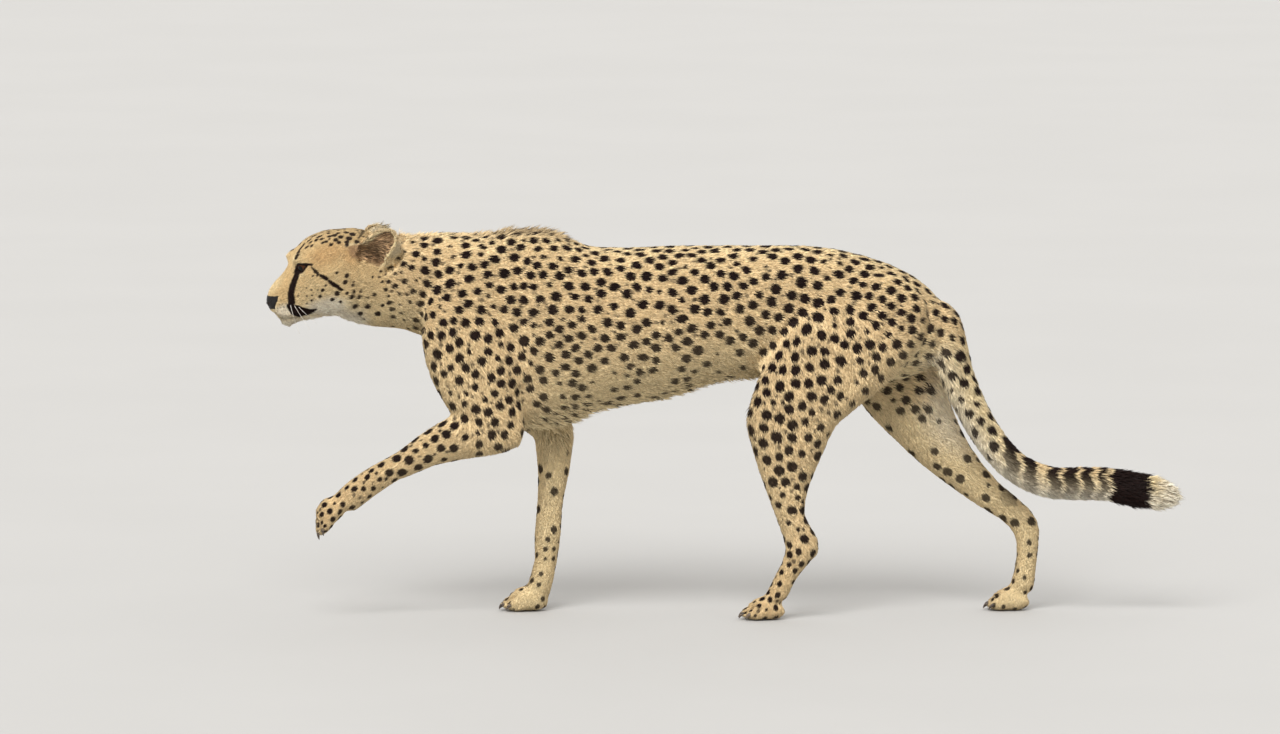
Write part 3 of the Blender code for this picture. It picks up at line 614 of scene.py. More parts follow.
def in_eye(points, side):
    """Places on the eye's ball in eye radii: outward, over, and the way it looks."""
    q = (points - np.array(EYES[side])) @ eye_axes(side).T
    return q[:, 1] / EYE_RADIUS, q[:, 2] / EYE_RADIUS, q[:, 0] / EYE_RADIUS


def on_eye(outward, over, radius, side):
    depth = np.sqrt(np.clip(1 - outward**2 - over**2, 0.02, 1))
    local = np.stack([depth, outward, over], -1) * radius
    return local @ eye_axes(side) + np.array(EYES[side])


def lid_reach(outward, over):
    """1 on the lids' edge, less inside the opening."""
    height = np.where(over > 0, LID_UPPER, LID_LOWER)
    return (np.abs(outward / LID_HALF_WIDTH) ** 1.6 + np.abs(over / height) ** 1.25) ** (1 / 1.5)


def lid_edge(turn):
    """The place on the lids' edge in the direction of the turn."""
    outward = np.cos(turn) * LID_HALF_WIDTH
    over = np.sin(turn) * np.where(np.sin(turn) > 0, LID_UPPER, LID_LOWER)
    scale = 1 / lid_reach(outward, over)
    for _ in range(3):
        scale = scale / lid_reach(outward * scale, over * scale)
    return outward * scale, over * scale


def wrap_lids(surface):
    """Draws the skin about each eye close over its ball, with a fold above."""
    for side in (1, -1):
        outward, over, ahead = in_eye(surface.points, side)
        r = np.sqrt(outward**2 + over**2 + ahead**2)
        reach = lid_reach(outward, over)
        pull = (1 - step(1.25, 2.1, reach)) * (ahead > 0.1) * (r < 1.9) * (r > 0.5)
        lid = 1 + LID_THICKNESS / EYE_RADIUS + 0.05 * step(1.0, 1.5, reach)
        surface.points += ((lid / r - 1) * pull)[:, None] * (surface.points - np.array(EYES[side]))
        crease = np.exp(-(((reach - 1.75) / 0.16) ** 2)) * (over > 0.1) * (ahead > 0.1) * (r < 1.9)
        surface.points -= (0.7 * MM * crease)[:, None] * eye_axes(side)[0]
    surface.store()


def open_lids(skin):
    """Cuts the opening of each eye, and turns its edge in behind the ball."""
    work = bmesh.new()
    work.from_mesh(skin.data)
    for side in (1, -1):
        centres = np.array([face.calc_center_median() for face in work.faces])
        outward, over, ahead = in_eye(centres, side)
        inside = (lid_reach(outward, over) < 1) & (ahead > 0.3) & (ahead < 1.6)
        work.faces.ensure_lookup_table()
        bmesh.ops.delete(work, geom=[work.faces[k] for k in inside.nonzero()[0]], context="FACES")
        eye = Vector(EYES[side])
        rim = [e for e in work.edges if e.is_boundary and (e.verts[0].co - eye).length < 2 * EYE_RADIUS]
        corners = corners_of(rim)
        place_ring(corners, side, 1.0, EYE_RADIUS + LID_THICKNESS)
        for scale, radius in ((0.93, EYE_RADIUS + 0.15 * MM), (1.0, EYE_RADIUS - 3 * MM)):
            outer, corners = corners, [work.verts.new(v.co, v) for v in corners]
            for k in range(len(outer)):
                work.faces.new((outer[k - 1], outer[k], corners[k], corners[k - 1]))
            place_ring(corners, side, scale, radius)
        work.faces.new(corners)
        bmesh.ops.recalc_face_normals(work, faces=work.faces)
    bmesh.ops.triangulate(work, faces=[face for face in work.faces if len(face.verts) > 4])
    work.to_mesh(skin.data)
    work.free()


def corners_of(rim):
    """The corners of a closed loop of edges, one after another. Their order is the same in each run, which it
    would not be after an extrusion, and the coat's random draws follow it."""
    corners, left = [rim[0].verts[0]], list(rim)
    while left:
        edge = next(e for e in left if corners[-1] in e.verts)
        left.remove(edge)
        corners.append(edge.other_vert(corners[-1]))
    assert corners.pop() is corners[0] and len(set(corners)) == len(rim)
    return corners


def place_ring(corners, side, scale, radius):
    """Sets points on the lids' edge, grown by the scale, at a distance from the eye's middle."""
    outward, over, _ = in_eye(np.array([v.co for v in corners]), side)
    turn = np.arctan2(over / np.where(over > 0, LID_UPPER, LID_LOWER), outward / LID_HALF_WIDTH)
    outward, over = lid_edge(turn)
    for corner, place in zip(corners, on_eye(outward * scale, over * scale, radius, side)):
        corner.co = Vector(place)


def nearest_node(surface):
    """For each point the flesh node that is nearest, as its place in FLESH."""
    corners, faces, owner = [], [], []
    for k, name in enumerate(FLESH):
        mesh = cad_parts[name].data
        start = len(corners)
        corners.extend(v.co.copy() for v in mesh.vertices)
        faces.extend(tuple(start + i for i in face.vertices) for face in mesh.polygons)
        owner.extend([k] * len(mesh.polygons))
    tree = BVHTree.FromPolygons(corners, faces)
    return np.array([owner[tree.find_nearest(point)[2]] for point in surface.points])


def coat_fields(surface, owner, hollow):
    """Lie, length, depth, spot radius and spacing, and looseness at each point, even across the nodes' cuts."""
    table = np.array([[*COAT[name][0], *COAT[name][1:5]] for name in FLESH], float)
    table[:, 3:] *= MM
    fields = table[owner]
    local = to_head(surface.points)
    face = np.isin(owner, [FLESH.index("head"), FLESH.index("nose")])
    back = unit(local - np.array((0.085, 0, -0.035)))  # away from the nose, over the whole head
    fields[face, :3] = (back @ HEAD_AXES)[face]
    for name, side in (("ear_left", 1), ("ear_right", -1)):
        fields[owner == FLESH.index(name), :3] = ear_frame(side)[0][2]
    fields = surface.spread(fields, 45)
    for side in (1, -1):  # the hair in the ears fans out from the foot of the front rim
        q = ear_places(surface.points, side)
        fan = unit(np.c_[np.zeros(len(q)), q[:, 1] + 0.050, q[:, 2] + 0.048])
        fan = fan * (1, side, 1) @ ear_frame(side)[0]
        inside = (hollow > 0.05) & (np.linalg.norm(q, axis=1) < EAR_REACH)
        fields[inside, :3] = fan[inside]
        fields[inside, 3:5] = (17 * MM, 3.6 * MM)
    fields = np.c_[fields, np.zeros(len(fields))]
    for middle, halves, length, depth, loose, lean in LONG_COAT:
        d = np.linalg.norm((surface.points - middle) / halves, axis=1)
        w = 1 - step(0.35, 1.0, d)
        fields[:, 7] = np.maximum(fields[:, 7], w * loose)
        fields[:, :3] += w[:, None] * lean
        fields[:, 3] += w * np.maximum(length * MM - fields[:, 3], 0)
        fields[:, 4] += w * np.maximum(depth * MM - fields[:, 4], 0)
    short = 1 - step(0.010, 0.075, 0.083 - local[:, 0]) * 0.75  # shortest on the muzzle
    fields[face, 3] *= 1 - 0.45 * short[face]
    return fields


def build_skin():
    skin = weld_flesh()
    Surface(skin).relax(14)
    refine(skin, lambda points: near_head(points) | near_paws(points))
    surface = Surface(skin)
    surface.relax(8, (near_head(surface.points) | near_paws(surface.points)).astype(float))
    refine(skin, near_features)
    surface = Surface(skin)
    surface.relax(5, near_features(surface.points).astype(float))
    sculpt(surface, surface.points, body_strokes())
    sculpt(surface, folded(surface.points), HEAD_STROKES)
    narrow_nose(surface)
    model_toes(surface)
    hollow = model_ears(surface)
    surface.relax(2, near_head(surface.points).astype(float) * 0.8)
    owner = nearest_node(surface)
    fields = coat_fields(surface, owner, hollow)
    fields[:, 4] *= bpy.context.scene.cheetah_coat.depth
    surface.points -= surface.normals() * fields[:, 4:5]
    surface.store()
    wrap_lids(surface)
    attribute(skin.data, "owner", owner.astype(float))
    attribute(skin.data, "hollow", surface.spread(hollow, 2))
    attribute(skin.data, "lie", fields[:, :3])
    for k, name in enumerate(("hair", "depth", "spot", "spacing", "loose")):
        attribute(skin.data, name, fields[:, 3 + k])
    open_lids(skin)
    choose(skin)
    bpy.ops.object.shade_smooth()
    return skin


# ---- Markings ----

class Canvas:
    """How far each point is from the edge of the nearest marking, below 0 inside it, and how dark that is."""

    def __init__(self, points, normals, under):
        self.points, self.normals, self.under = points, normals, under
        self.edge = np.full(len(points), MARK_REACH)
        self.ink = np.zeros(len(points))
        self.spots = []
        self.tree = tree_of(points)

    def put(self, chosen, distance, ink):
        nearer = distance < self.edge[chosen]
        self.edge[chosen] = np.where(nearer, distance, self.edge[chosen])
        self.ink[chosen] = np.where(nearer, ink, self.ink[chosen])

    def spot(self, place, normal, radius, along, stretch, ink):
        """A round spot, longer one way."""
        self.spots.append((place, normal, radius, along, stretch, ink))
        found = self.tree.find_range(place, radius * stretch + MARK_REACH)
        if found:
            near = np.array([hit[1] for hit in found])
            offset = self.points[near] - place
            a = offset @ along
            across = np.linalg.norm(offset - a[:, None] * along, axis=1)
            distance = np.hypot(a / stretch, across * stretch**0.3) - radius
            facing = self.normals[near] @ normal > 0.1
            self.put(near[facing], distance[facing], ink)

    def repeated(self, points, normals, under):
        """The same markings on other points of the coat."""
        fresh = Canvas(points, normals, under)
        for spot in self.spots:
            fresh.spot(*spot)
        draw_bands(fresh)
        draw_lines(fresh)
        return fresh


EVENING_ROUNDS = 6  # how often the spots are moved to the middle of their skin


def throw_spots(points, spacing, wanted, seed):
    """Points picked at random so that none is nearer to another than the spacing there."""
    random = np.random.default_rng(seed)
    centres, found = np.empty_like(points), []
    for k in random.permutation(wanted.nonzero()[0]):
        n = len(found)
        if n == 0 or ((centres[:n] - points[k]) ** 2).sum(1).min() > spacing[k] ** 2:
            centres[n] = points[k]
            found.append(k)
    return found


def even_out(canvas, surface, wanted, spots):
    """Moves each spot to the middle of the skin nearest to it, so that they lie as evenly as on a real coat,
    and returns each with its distance to the next."""
    chosen = wanted.nonzero()[0]
    away = surface.points[surface.neighbour] - np.repeat(surface.points, surface.count, 0)
    cell = np.linalg.norm(away, axis=1)
    weight = (np.add.reduceat(cell, surface.first) / surface.count)[chosen] ** 2
    for _ in range(EVENING_ROUNDS):
        tree = tree_of(canvas.points[spots])
        owner = np.array([tree.find(point)[1] for point in canvas.points[chosen].tolist()])
        facing = (canvas.normals[chosen] * canvas.normals[np.array(spots)[owner]]).sum(1) > 0.3
        middle, total = np.zeros((len(spots), 3)), np.zeros(len(spots))
        np.add.at(middle, owner, canvas.points[chosen] * (weight * facing)[:, None])
        np.add.at(total, owner, weight * facing)
        middle = np.where(total[:, None] > 0, middle / np.maximum(total, 1e-12)[:, None], canvas.points[spots])
        spots = sorted({canvas.tree.find(place)[1] for place in middle})
    tree = tree_of(canvas.points[spots], spots)
    return [(spot, tree.find_n(canvas.points[spot], 2)[1][2]) for spot in spots]


def draw_bands(canvas):
    """Bands round the tail, open below, and its dark end before the tuft."""
    x, _, z = canvas.points.T
    only_tail = (x > 0.50) & (z > np.where(x < 0.6, 0.20, 0.17)) & (z < 0.36)
    chosen = only_tail.nonzero()[0]
    x, y, z = canvas.points[chosen].T
    wave = 3 * MM * np.sin(z * 160 + y * 90) + 2 * MM * np.sin(y * 310)
    for start, end in TAIL_BANDS:
        distance = np.maximum(start - x - wave, x + wave - end)
        canvas.put(chosen, distance, 1 - 0.75 * canvas.under[chosen] * (end - start < 0.05))


def on_face(local):
    """Which places in the head's frame may carry the face's markings."""
    return ((local > (-0.16, -0.10, -0.15)) & (local < (np.inf, 0.10, np.inf))).all(1).nonzero()[0]


def draw_lines(canvas):
    """Tear marks, lips, lines behind the eyes, rims of the eyes and the ground of the nose, on both sides."""
    local = to_head(canvas.points)
    face = on_face(local)
    profile = local[face][:, [0, 2]]
    aside = np.abs(local[face, 1])
    clear = aside > 0.011
    for name, points, ink in FACE_LINES:
        points = np.array(points, float) * MM
        distance, along = distance_to_path(profile, points[:, :2])
        width = np.interp(along, np.arange(len(points)), points[:, 2])
        canvas.put(face, distance - width / 2 + np.where(clear | (name == "lip"), 0, MARK_REACH), ink)
    for side in (1, -1):
        outward, over, ahead = in_eye(canvas.points[face], side)
        near = (ahead > 0.1) & (np.hypot(outward, over) < 1.7)
        distance = (lid_reach(outward, over) - 1) * EYE_RADIUS * 0.45 - 3.2 * MM
        canvas.put(face[near], distance[near], 1.0)
    nose = face[on_nose(local[face])]
    canvas.put(nose, np.full(len(nose), -2 * MM), 1.0)


def names_of(owner):
    """Each point's node, and whether that is part of a leg."""
    names = np.array(FLESH)[owner]
    return names, np.char.startswith(names, "fore") | np.char.startswith(names, "hind")


def mark_body(canvas, surface, fields, owner):
    """Round spots all over, and small faint ones between them."""
    settings = bpy.context.scene.cheetah_coat
    random = np.random.default_rng(settings.seed)
    points, normals, under = canvas.points, canvas.normals, canvas.under
    spacing = fields["spacing"] * settings.spot_spacing
    names, limb = names_of(owner)
    thigh, tail = np.char.endswith(names, "thigh"), np.char.startswith(names, "tail")
    banded = tail & (points[:, 0] > TAIL_BANDS[0][0] - 0.012)
    lie = unit(fields["lie"])
    wanted = (fields["spot"] > 1 * MM) & ~banded & fields["open"]
    spots = throw_spots(points, spacing * 0.84, wanted, settings.seed)
    for k, room in even_out(canvas, surface, wanted, spots):
        size = fields["spot"][k] * random.uniform(0.86, 1.14) * (1 - 0.2 * under[k]) * settings.spot_size
        tight = 0.34 if room < 0.90 * spacing[k] else 0.08 + 0.12 * thigh[k]
        size *= random.uniform(0.48, 0.74) if random.uniform() < tight else 1
        turn = random.uniform(-0.6, 0.6)
        along = unit(lie[k] * math.cos(turn) + np.cross(normals[k], lie[k]) * math.sin(turn))
        stretch = random.uniform(1.0, 1.22)
        size = min(size, (0.47 * room - 0.6 * MM) / stretch)
        if random.uniform() >= (0.85 if limb[k] else 0.35) * under[k] ** 2:
            canvas.spot(points[k], normals[k], size, along, stretch, 1 - 0.12 * under[k])
    between = (canvas.edge > 4.6 * MM) & (fields["spot"] > 5 * MM) & fields["open"]
    between &= ~tail & (under < 0.4)
    for k in throw_spots(points, spacing * 0.62, between, settings.seed + 1):
        size, ink = random.uniform(1.6, 4.8) * MM, random.uniform(0.60, 1.0)
        if random.uniform() < 0.60:
            canvas.spot(points[k], normals[k], min(size, canvas.edge[k] - 1.4 * MM), lie[k], 1.15, ink)


def mark_face(canvas):
    """Spots of the cheeks and crown, the whiskers' dots, and the specks under the eyes."""
    points, normals, local = canvas.points, canvas.normals, to_head(canvas.points)
    face = on_face(local)
    slant = unit(np.array((-1.0, 0, 0.5)) @ HEAD_AXES)
    for side in (1, -1):
        for k, (u, w, v, radius) in enumerate(FACE_SPOTS):
            if side < 0:
                u, v = u + 2.5 * math.sin(k * 2.1), v + 2.0 * math.cos(k * 1.3)
            place = canvas.tree.find(from_head((u * MM, side * w * MM, v * MM)))[1]
            canvas.spot(points[place], normals[place], radius * MM, slant, 1.2, 0.97)
        for start, end in WHISKER_ROWS:
            for k in range(6):
                u, v = (s + (e - s) * k / 5 for s, e in zip(start, end))
                place = nearest_on_side(local, face, u * MM, v * MM, side)
                canvas.spot(points[place], normals[place], 1.1 * MM, slant, 1.0, 0.75)
    random = np.random.default_rng(5)
    flat = local[face]
    crown = (flat[:, 2] > 0.022 - 0.08 * flat[:, 0]) & (flat[:, 0] < -0.020) & (flat[:, 0] > -0.15)
    crown &= (np.abs(flat[:, 1]) < 0.032) & (canvas.edge[face] > 5.6 * MM)
    for k in thrown_on(canvas, face[crown], 14 * MM, 11):
        size = np.interp(-local[k, 0], (0.01, 0.08, 0.15), (3.0, 4.2, 5.2)) * random.uniform(0.8, 1.2)
        canvas.spot(points[k], normals[k], size * MM, HEAD_AXES[0], 1.6, 0.97)
    speckled = np.hypot((flat[:, 0] - 0.005) / 0.030, (flat[:, 2] + 0.036) / 0.026) < 1
    speckled &= (np.abs(flat[:, 1]) > 0.02) & (canvas.edge[face] > 2.5 * MM)
    for k in thrown_on(canvas, face[speckled], 5.2 * MM, 12):
        canvas.spot(points[k], normals[k], random.uniform(0.7, 1.2) * MM, HEAD_AXES[0], 1.4, 0.6)


def thrown_on(canvas, chosen, spacing, seed):
    wanted = np.zeros(len(canvas.points), bool)
    wanted[chosen] = True
    return throw_spots(canvas.points, np.full(len(wanted), spacing), wanted, seed)


def nearest_on_side(local, face, forward, up, side):
    """The point of the face that is seen at a place of its profile, from that side."""
    d = np.hypot(local[face, 0] - forward, local[face, 2] - up)
    d += np.where(local[face, 1] * side > 0.008, 0, 1.0)
    return int(face[np.argmin(d - 0.02 * np.abs(local[face, 1]))])


def pelt_colours(surface, owner):
    """The coat's colour at each point, without its markings, with painted shade and painted light in the ears'
    hollows.
    """
    up = surface.normal[:, 2]
    top, below = step(0.25, 0.95, up), step(-0.25, 0.55, -up)
    names, limb = names_of(owner)
    inward = surface.normal[:, 1] * np.where(np.char.find(names, "left") > 0, 1, -1)
    below = np.where(limb, np.maximum(step(0.1, 0.8, inward), 0.6 * below), below)
    tones = {key: linear(getattr(bpy.context.scene.cheetah_tones, key)) for key in TONES}
    tint = np.array([[tones[tone] for tone in COAT[name][5:8]] for name in FLESH])[owner]
    colour = tint[:, 1] + (tint[:, 0] - tint[:, 1]) * top[:, None]
    colour += (tint[:, 2] - colour) * (0.9 * below)[:, None]
    colour = surface.spread(colour, 30)
    under = surface.spread(below, 30)
    for places, washes, scale, fade in ((surface.points, WASHES, 1, (0.45, 1.05)),
                                        (folded(surface.points), HEAD_WASHES, MM, (0.40, 1.1))):
        for middle, halves, tone, strength in washes:
            d = np.linalg.norm((places - np.array(middle) * scale) / (np.array(halves) * scale), axis=1)
            colour += (tones[tone] - colour) * (strength * (1 - step(*fade, d)))[:, None]
    for side in (1, -1):
        q = ear_places(surface.points, side)
        near = np.linalg.norm(q, axis=1) < EAR_REACH
        ear = near * surface.spread(np.char.startswith(names, "ear").astype(float), 3)
        back = ear * step(-0.002, -0.012, q[:, 0]) * step(-0.034, -0.010, q[:, 2] + 0.4 * q[:, 1])
        colour += (tones["grey"] - colour) * (0.75 * back)[:, None]
        far = in_opening(q)
        inside = near * step(2 * MM, -5 * MM, far) * (q[:, 0] > -0.02)
        # The left ear's hollow takes fawn and the right ear's the paler grey: a shaded and a lit copy of one
        # colour, painted shade on the left, painted light on the right.
        colour += (tones["fawn" if side > 0 else "grey"] - colour) * (0.85 * inside)[:, None]
        edge = distance_to_path(q[:, 1:], np.array(EAR_RIM) * MM)[0]
        rim = near * np.exp(-((edge / (2.2 * MM)) ** 2)) * (q[:, 0] > -0.008)
        colour += (tones["cream"] - colour) * (0.90 * rim)[:, None]
        # Umber deep in each ear's hollow: painted shade in the recess.
        deep = np.exp(-(((q[:, 1] + 0.004) / 0.024) ** 2) - ((q[:, 2] + 0.022) / 0.016) ** 2) * inside
        colour += (tones["umber"] - colour) * (0.8 * deep)[:, None]
    return colour, under


def mark_skin(skin):
    """Gives the skin its colours and markings, and returns these for the coat."""
    surface = Surface(skin)
    surface.normal = surface.normals()
    owner = kept(skin.data, "owner").round().astype(int)
    hollow = kept(skin.data, "hollow")
    colour, under = pelt_colours(surface, owner)
    fields = {name: kept(skin.data, name) for name in ("spot", "spacing")}
    fields["lie"] = kept(skin.data, "lie", 3)
    names, _ = names_of(owner)
    face = (to_head(surface.points)[:, 0] > -0.125) & (names == "head")
    fields["open"] = ~(face | np.isin(names, ["ear_left", "ear_right", "nose"]))  # takes the body's spots
    canvas = Canvas(surface.points, surface.normal, under)
    mark_body(canvas, surface, fields, owner)
    mark_face(canvas)
    draw_bands(canvas)
    draw_lines(canvas)
    attribute(skin.data, "pelt", np.c_[colour, np.ones(len(colour))])
    attribute(skin.data, "under", under)
    attribute(skin.data, "mark", canvas.edge / MARK_REACH)
    attribute(skin.data, "ink", canvas.ink * (1 - step(0.1, 0.5, hollow)))
    return canvas


# ---- Coat ----

# Coat piece: how the names of its nodes start, and the side of the body, or None for both
COAT_PIECES = {
    "coat_head_left": (("head", "nose"), 1),
    "coat_head_right": (("head", "nose"), -1),
    "coat_ears": (("ear",), None),
    "coat_neck": (("neck",), None),
    "coat_chest_left": (("trunk_front",), 1),
    "coat_chest_right": (("trunk_front",), -1),
    "coat_loin_left": (("trunk_rear",), 1),
    "coat_loin_right": (("trunk_rear",), -1),
    "coat_fore_left": (("fore_left",), None),
    "coat_fore_right": (("fore_right",), None),
    "coat_hind_left": (("hind_left",), None),
    "coat_hind_right": (("hind_right",), None),
    "coat_tail": (("tail",), None),
}
# Faces and corners of a tuft: two at the root, one on the ridge and the tip. Of a corner: run as a share of the
# reach, aside in widths, height as shares of the rise and the width and in mm, lightness, place in its patch
# In both tables the lightness runs from dark at the root to light at the tip: painted shade among the roots and
# painted light on the tips.
TUFT = ((0, 2, 3), (1, 3, 2), (0, 1, 2), (0, 3, 1)), (
    (0, -0.5, 0, 0, -0.4, 0.80, -1, -1),
    (0, 0.5, 0, 0, -0.4, 0.80, 1, -1),
    (0.42, 0, 0.5, 0.22, 0, 1.04, 0, 0.2),
    (1, 0, 1, 0, 0, 1.13, 0, 1),
)
# The same of a longer one, which bends on its way
LOCK = (
    (0, 1, 2), (0, 2, 5), (0, 5, 3), (1, 4, 5), (1, 5, 2), (0, 3, 4), (0, 4, 1), (3, 5, 6), (5, 4, 6), (3, 6, 4),
), (
    (0, -0.5, 0, 0, -0.4, 0.76, -1, -1),
    (0, 0.5, 0, 0, -0.4, 0.76, 1, -1),
    (0.05, 0, 0.1, 0.35, 0, 0.84, 0, -0.6),
    (0.5, -0.42, 0.58, 0, 0, 1.02, -0.7, 0),
    (0.5, 0.42, 0.58, 0, 0, 1.02, 0.7, 0),
    (0.5, 0, 0.62, 0.3, 0, 1.05, 0, 0.2),
    (1, 0, 1, 0, 0, 1.16, 0, 1),
)
LOCK_LENGTH = 16.5 * MM  # of the shortest hair that is a lock
PATCH = 0.0014  # half the size of a tuft's patch in the UV map


def mesh_of(name, points, faces):
    """A smooth mesh of triangles from arrays."""
    mesh = bpy.data.meshes.new(name)
    mesh.vertices.add(len(points))
    mesh.vertices.foreach_set("co", np.ascontiguousarray(points, np.float32).ravel())
    mesh.loops.add(faces.size)
    mesh.loops.foreach_set("vertex_index", np.ascontiguousarray(faces, np.int32).ravel())
    mesh.polygons.add(len(faces))
    mesh.polygons.foreach_set("loop_start", np.arange(0, faces.size, 3, dtype=np.int32))
    mesh.polygons.foreach_set("use_smooth", np.ones(len(faces), bool))
    mesh.update(calc_edges=True)
    return mesh


class Ground:
    """The skin's triangles, on which the hairs are planted, with all that a hair takes from its place."""

    def __init__(self, skin):
        mesh = skin.data
        mesh.calc_loop_triangles()
        self.corners = read(mesh.loop_triangles, "vertices", 3, np.int32)
        self.points, normals = read(mesh.vertices, "co", 3), read(mesh.vertices, "normal", 3)
        a, b, c = (self.points[self.corners[:, k]] for k in range(3))
        self.area = np.linalg.norm(np.cross(b - a, c - a), axis=1) / 2
        single = [kept(mesh, name) for name in ("hair", "depth", "under", "hollow", "loose")]
        pelt = kept(mesh, "pelt", 4)[:, :3]
        self.values = np.c_[self.points, normals, kept(mesh, "lie", 3), pelt, np.array(single).T]
        self.owner = kept(mesh, "owner").round().astype(int)[self.corners[:, 0]]
        self.middle = (a + b + c) / 3

    def plant(self, density, random):
        """Roots spread evenly at so many to the square metre, each with the skin's values there."""
        share = np.cumsum(self.area * density)
        count = int(share[-1])
        place = (np.arange(count) + random.uniform(size=count)) * share[-1] / count
        face = np.minimum(np.searchsorted(share, place), len(share) - 1)
        u, v = random.uniform(size=(2, count))
        u, v = np.where(u + v > 1, 1 - u, u), np.where(u + v > 1, 1 - v, v)
        weight = np.stack([1 - u - v, u, v], 1)
        return np.einsum("nk,nkd->nd", weight, self.values[self.corners[face]])


def wander(points):
    """A slow turn of the coat's lie from place to place, from -1 to 1."""
    x, y, z = (points * 1000).T
    return (np.sin(x / 31 + y / 17) + np.sin(z / 23 - x / 41 + 1) + np.sin(x / 9 + z / 11 + y / 13)) / 3


def hair_width(length):
    return np.interp(length, (0.003, 0.007, 0.015, 0.026), (0.0008, 0.0011, 0.0016, 0.0022))


def clumps(root, length, width, random):
    """Gathers hairs into small locks: a number for each hair's lock, the way to its middle and how far it is."""
    size = np.interp(length, (0.004, 0.008, 0.015, 0.028), (0.0026, 0.0042, 0.0066, 0.0115))
    share = length * width / 2 / (2.1 * 2.0 * size**2)
    heads = (random.uniform(size=len(root)) < share).nonzero()[0]
    tree = tree_of(root[heads])
    nearest = np.array([tree.find(place)[1] for place in root.tolist()])
    toward = root[heads][nearest] - root
    apart = np.clip(np.linalg.norm(toward, axis=1) / size, 0, 1.2)
    return random.normal(size=len(heads))[nearest], toward, apart


def grow_coat(name, ground, chosen, canvas, random):
    """Plants, colours and shapes the tufts of one piece of the coat."""
    settings = bpy.context.scene.cheetah_coat
    length = ground.values[ground.corners, 12].mean(1)
    density = np.where(chosen, settings.cover / (length * hair_width(length) / 2), 0)
    hairs = ground.plant(density, random)
    root, up, lie, tone = (hairs[:, k:k + 3] for k in (0, 3, 6, 9))
    length, depth, under, hollow, loose = hairs[:, 12:].T
    count = len(root)
    up = unit(up)
    along = unit(lie - (lie * up).sum(1)[:, None] * up)
    across = np.cross(along, up)
    turn = 0.12 * wander(root) + random.normal(size=count) * (0.11 + 0.15 * loose)
    along = along * np.cos(turn)[:, None] + across * np.sin(turn)[:, None]
    clump, toward, apart = clumps(root, length, hair_width(length), random)
    ticked = 0.08 + 0.10 * ("head" in name)  # share of dark hairs
    mottle = 0.03 + 0.05 * ("head" in name)
    ragged = 0.12 + 0.12 * step(0.012, 0.024, length)
    length = length * (1 + ragged * random.uniform(-1.6, 1.2, count))
    toward -= (toward * up).sum(1)[:, None] * up
    toward *= (0.40 + 0.60 * np.minimum(loose + hollow, 1))[:, None]
    along = unit(along * (length / (0.35 + apart))[:, None] * 1.9 + toward)
    across = np.cross(along, up)
    lift = random.uniform(0.60, 1.02, count) * (1.08 - 0.22 * apart**2)
    lift += loose * random.uniform(-0.2, 0.9, count) * (clump > 0)
    rise = np.minimum(depth * lift, 0.80 * length)
    width = hair_width(length) * random.uniform(0.8, 1.25, count)
    reach = np.sqrt(length**2 - rise**2)
    seen = root + along * (0.62 * reach)[:, None] + up * rise[:, None] * 0.5
    marks = canvas.repeated(seen, up, under)
    shade = random.normal(size=count) * (0.085 + 0.12 * hollow) + mottle * wander(root * 2.3) + 0.035 * clump
    shade = np.exp(shade)
    # Hairs far from the middle of their lock are darker: painted shade in the gaps between the locks; the dark
    # ticked hairs are the coat's own.
    shade *= (1.04 - 0.10 * apart**2) * np.where(random.uniform(size=count) < ticked, 0.70, 1.0)
    strand = random.uniform(size=count)
    shade *= 1 + hollow * (0.9 * (strand < 0.25) - 0.50 * (strand > 0.65))  # streaks in the ears
    out = unit(up + (loose * step(0.35, -0.2, up[:, 2]))[:, None] * (0, 0, -0.9))  # long hair hangs

    out[:, 2] *= np.where((root[:, 2] < 0.012) & (out[:, 2] < 0), 0.1, 1)  # soles stay on the floor
    ink = marks.ink * (1 - step(0.1, 0.5, hollow))
    long = length > LOCK_LENGTH
    groups = []
    for these, (faces, table) in ((~long, TUFT), (long, LOCK)):
        points = np.stack([
            root + along * (run * reach)[:, None] + out * (high * rise + wide * width + sunk * MM)[:, None]
            + across * (aside * width)[:, None]
            for run, aside, high, wide, sunk, *_ in table
        ], 1)[these]
        # Each corner's lightness from the table: painted shade at the root, painted light at the tip.
        light, patch = np.array(table)[:, 5], np.array(table)[:, 6:] * PATCH
        colour = (tone * shade[:, None])[these][:, None, :] * light[:, None]
        groups.append((np.array(faces), points, colour, marks.edge[these], ink[these], root[these], patch))
    return tuft_object(name, groups)


def tuft_object(name, groups):
    """One piece from groups of tufts alike in their faces. Its UV map holds a patch for each tuft at its root's
    place on an unwrap of the skin round the piece's longest way."""
    roots = np.concatenate([group[5] for group in groups])
    middle = roots.mean(0)
    axes = np.linalg.svd((roots - middle)[::17], full_matrices=False)[2]
    run = (roots - middle) @ axes[0]
    low, high = run.min(), run.max()
    start, rows = 0, []
    for faces, points, colour, edge, ink, root, patch in groups:
        count, size = points.shape[:2]
        faces = (np.arange(count)[:, None, None] * size + start + faces).reshape(-1, 3)
        x, y, z = ((root - middle) @ axes.T).T
        unwrapped = np.stack([np.arctan2(y, z) / (2 * math.pi) + 0.5, (x - low) / (high - low)], 1)
        uv = (unwrapped * 0.99 + 0.005)[:, None, :] + patch
        rows.append((faces, points.reshape(-1, 3), colour.reshape(-1, 3), uv.reshape(-1, 2),
                     np.repeat(edge, size), np.repeat(ink, size)))
        start += count * size
    faces, points, colour, uv, edge, ink = (np.concatenate(items) for items in zip(*rows))
    mesh = mesh_of(name, points, faces)
    layer = mesh.uv_layers.new(name="OFBake")
    layer.data.foreach_set("uv", uv[faces.ravel()].astype(np.float32).ravel())
    attribute(mesh, "pelt", np.c_[np.clip(colour, 0, 1), np.ones(len(colour))])
    attribute(mesh, "mark", edge / MARK_REACH)
    attribute(mesh, "ink", ink)
    return linked(name, mesh)


# ---- Eyes, nose, claws and whiskers ----

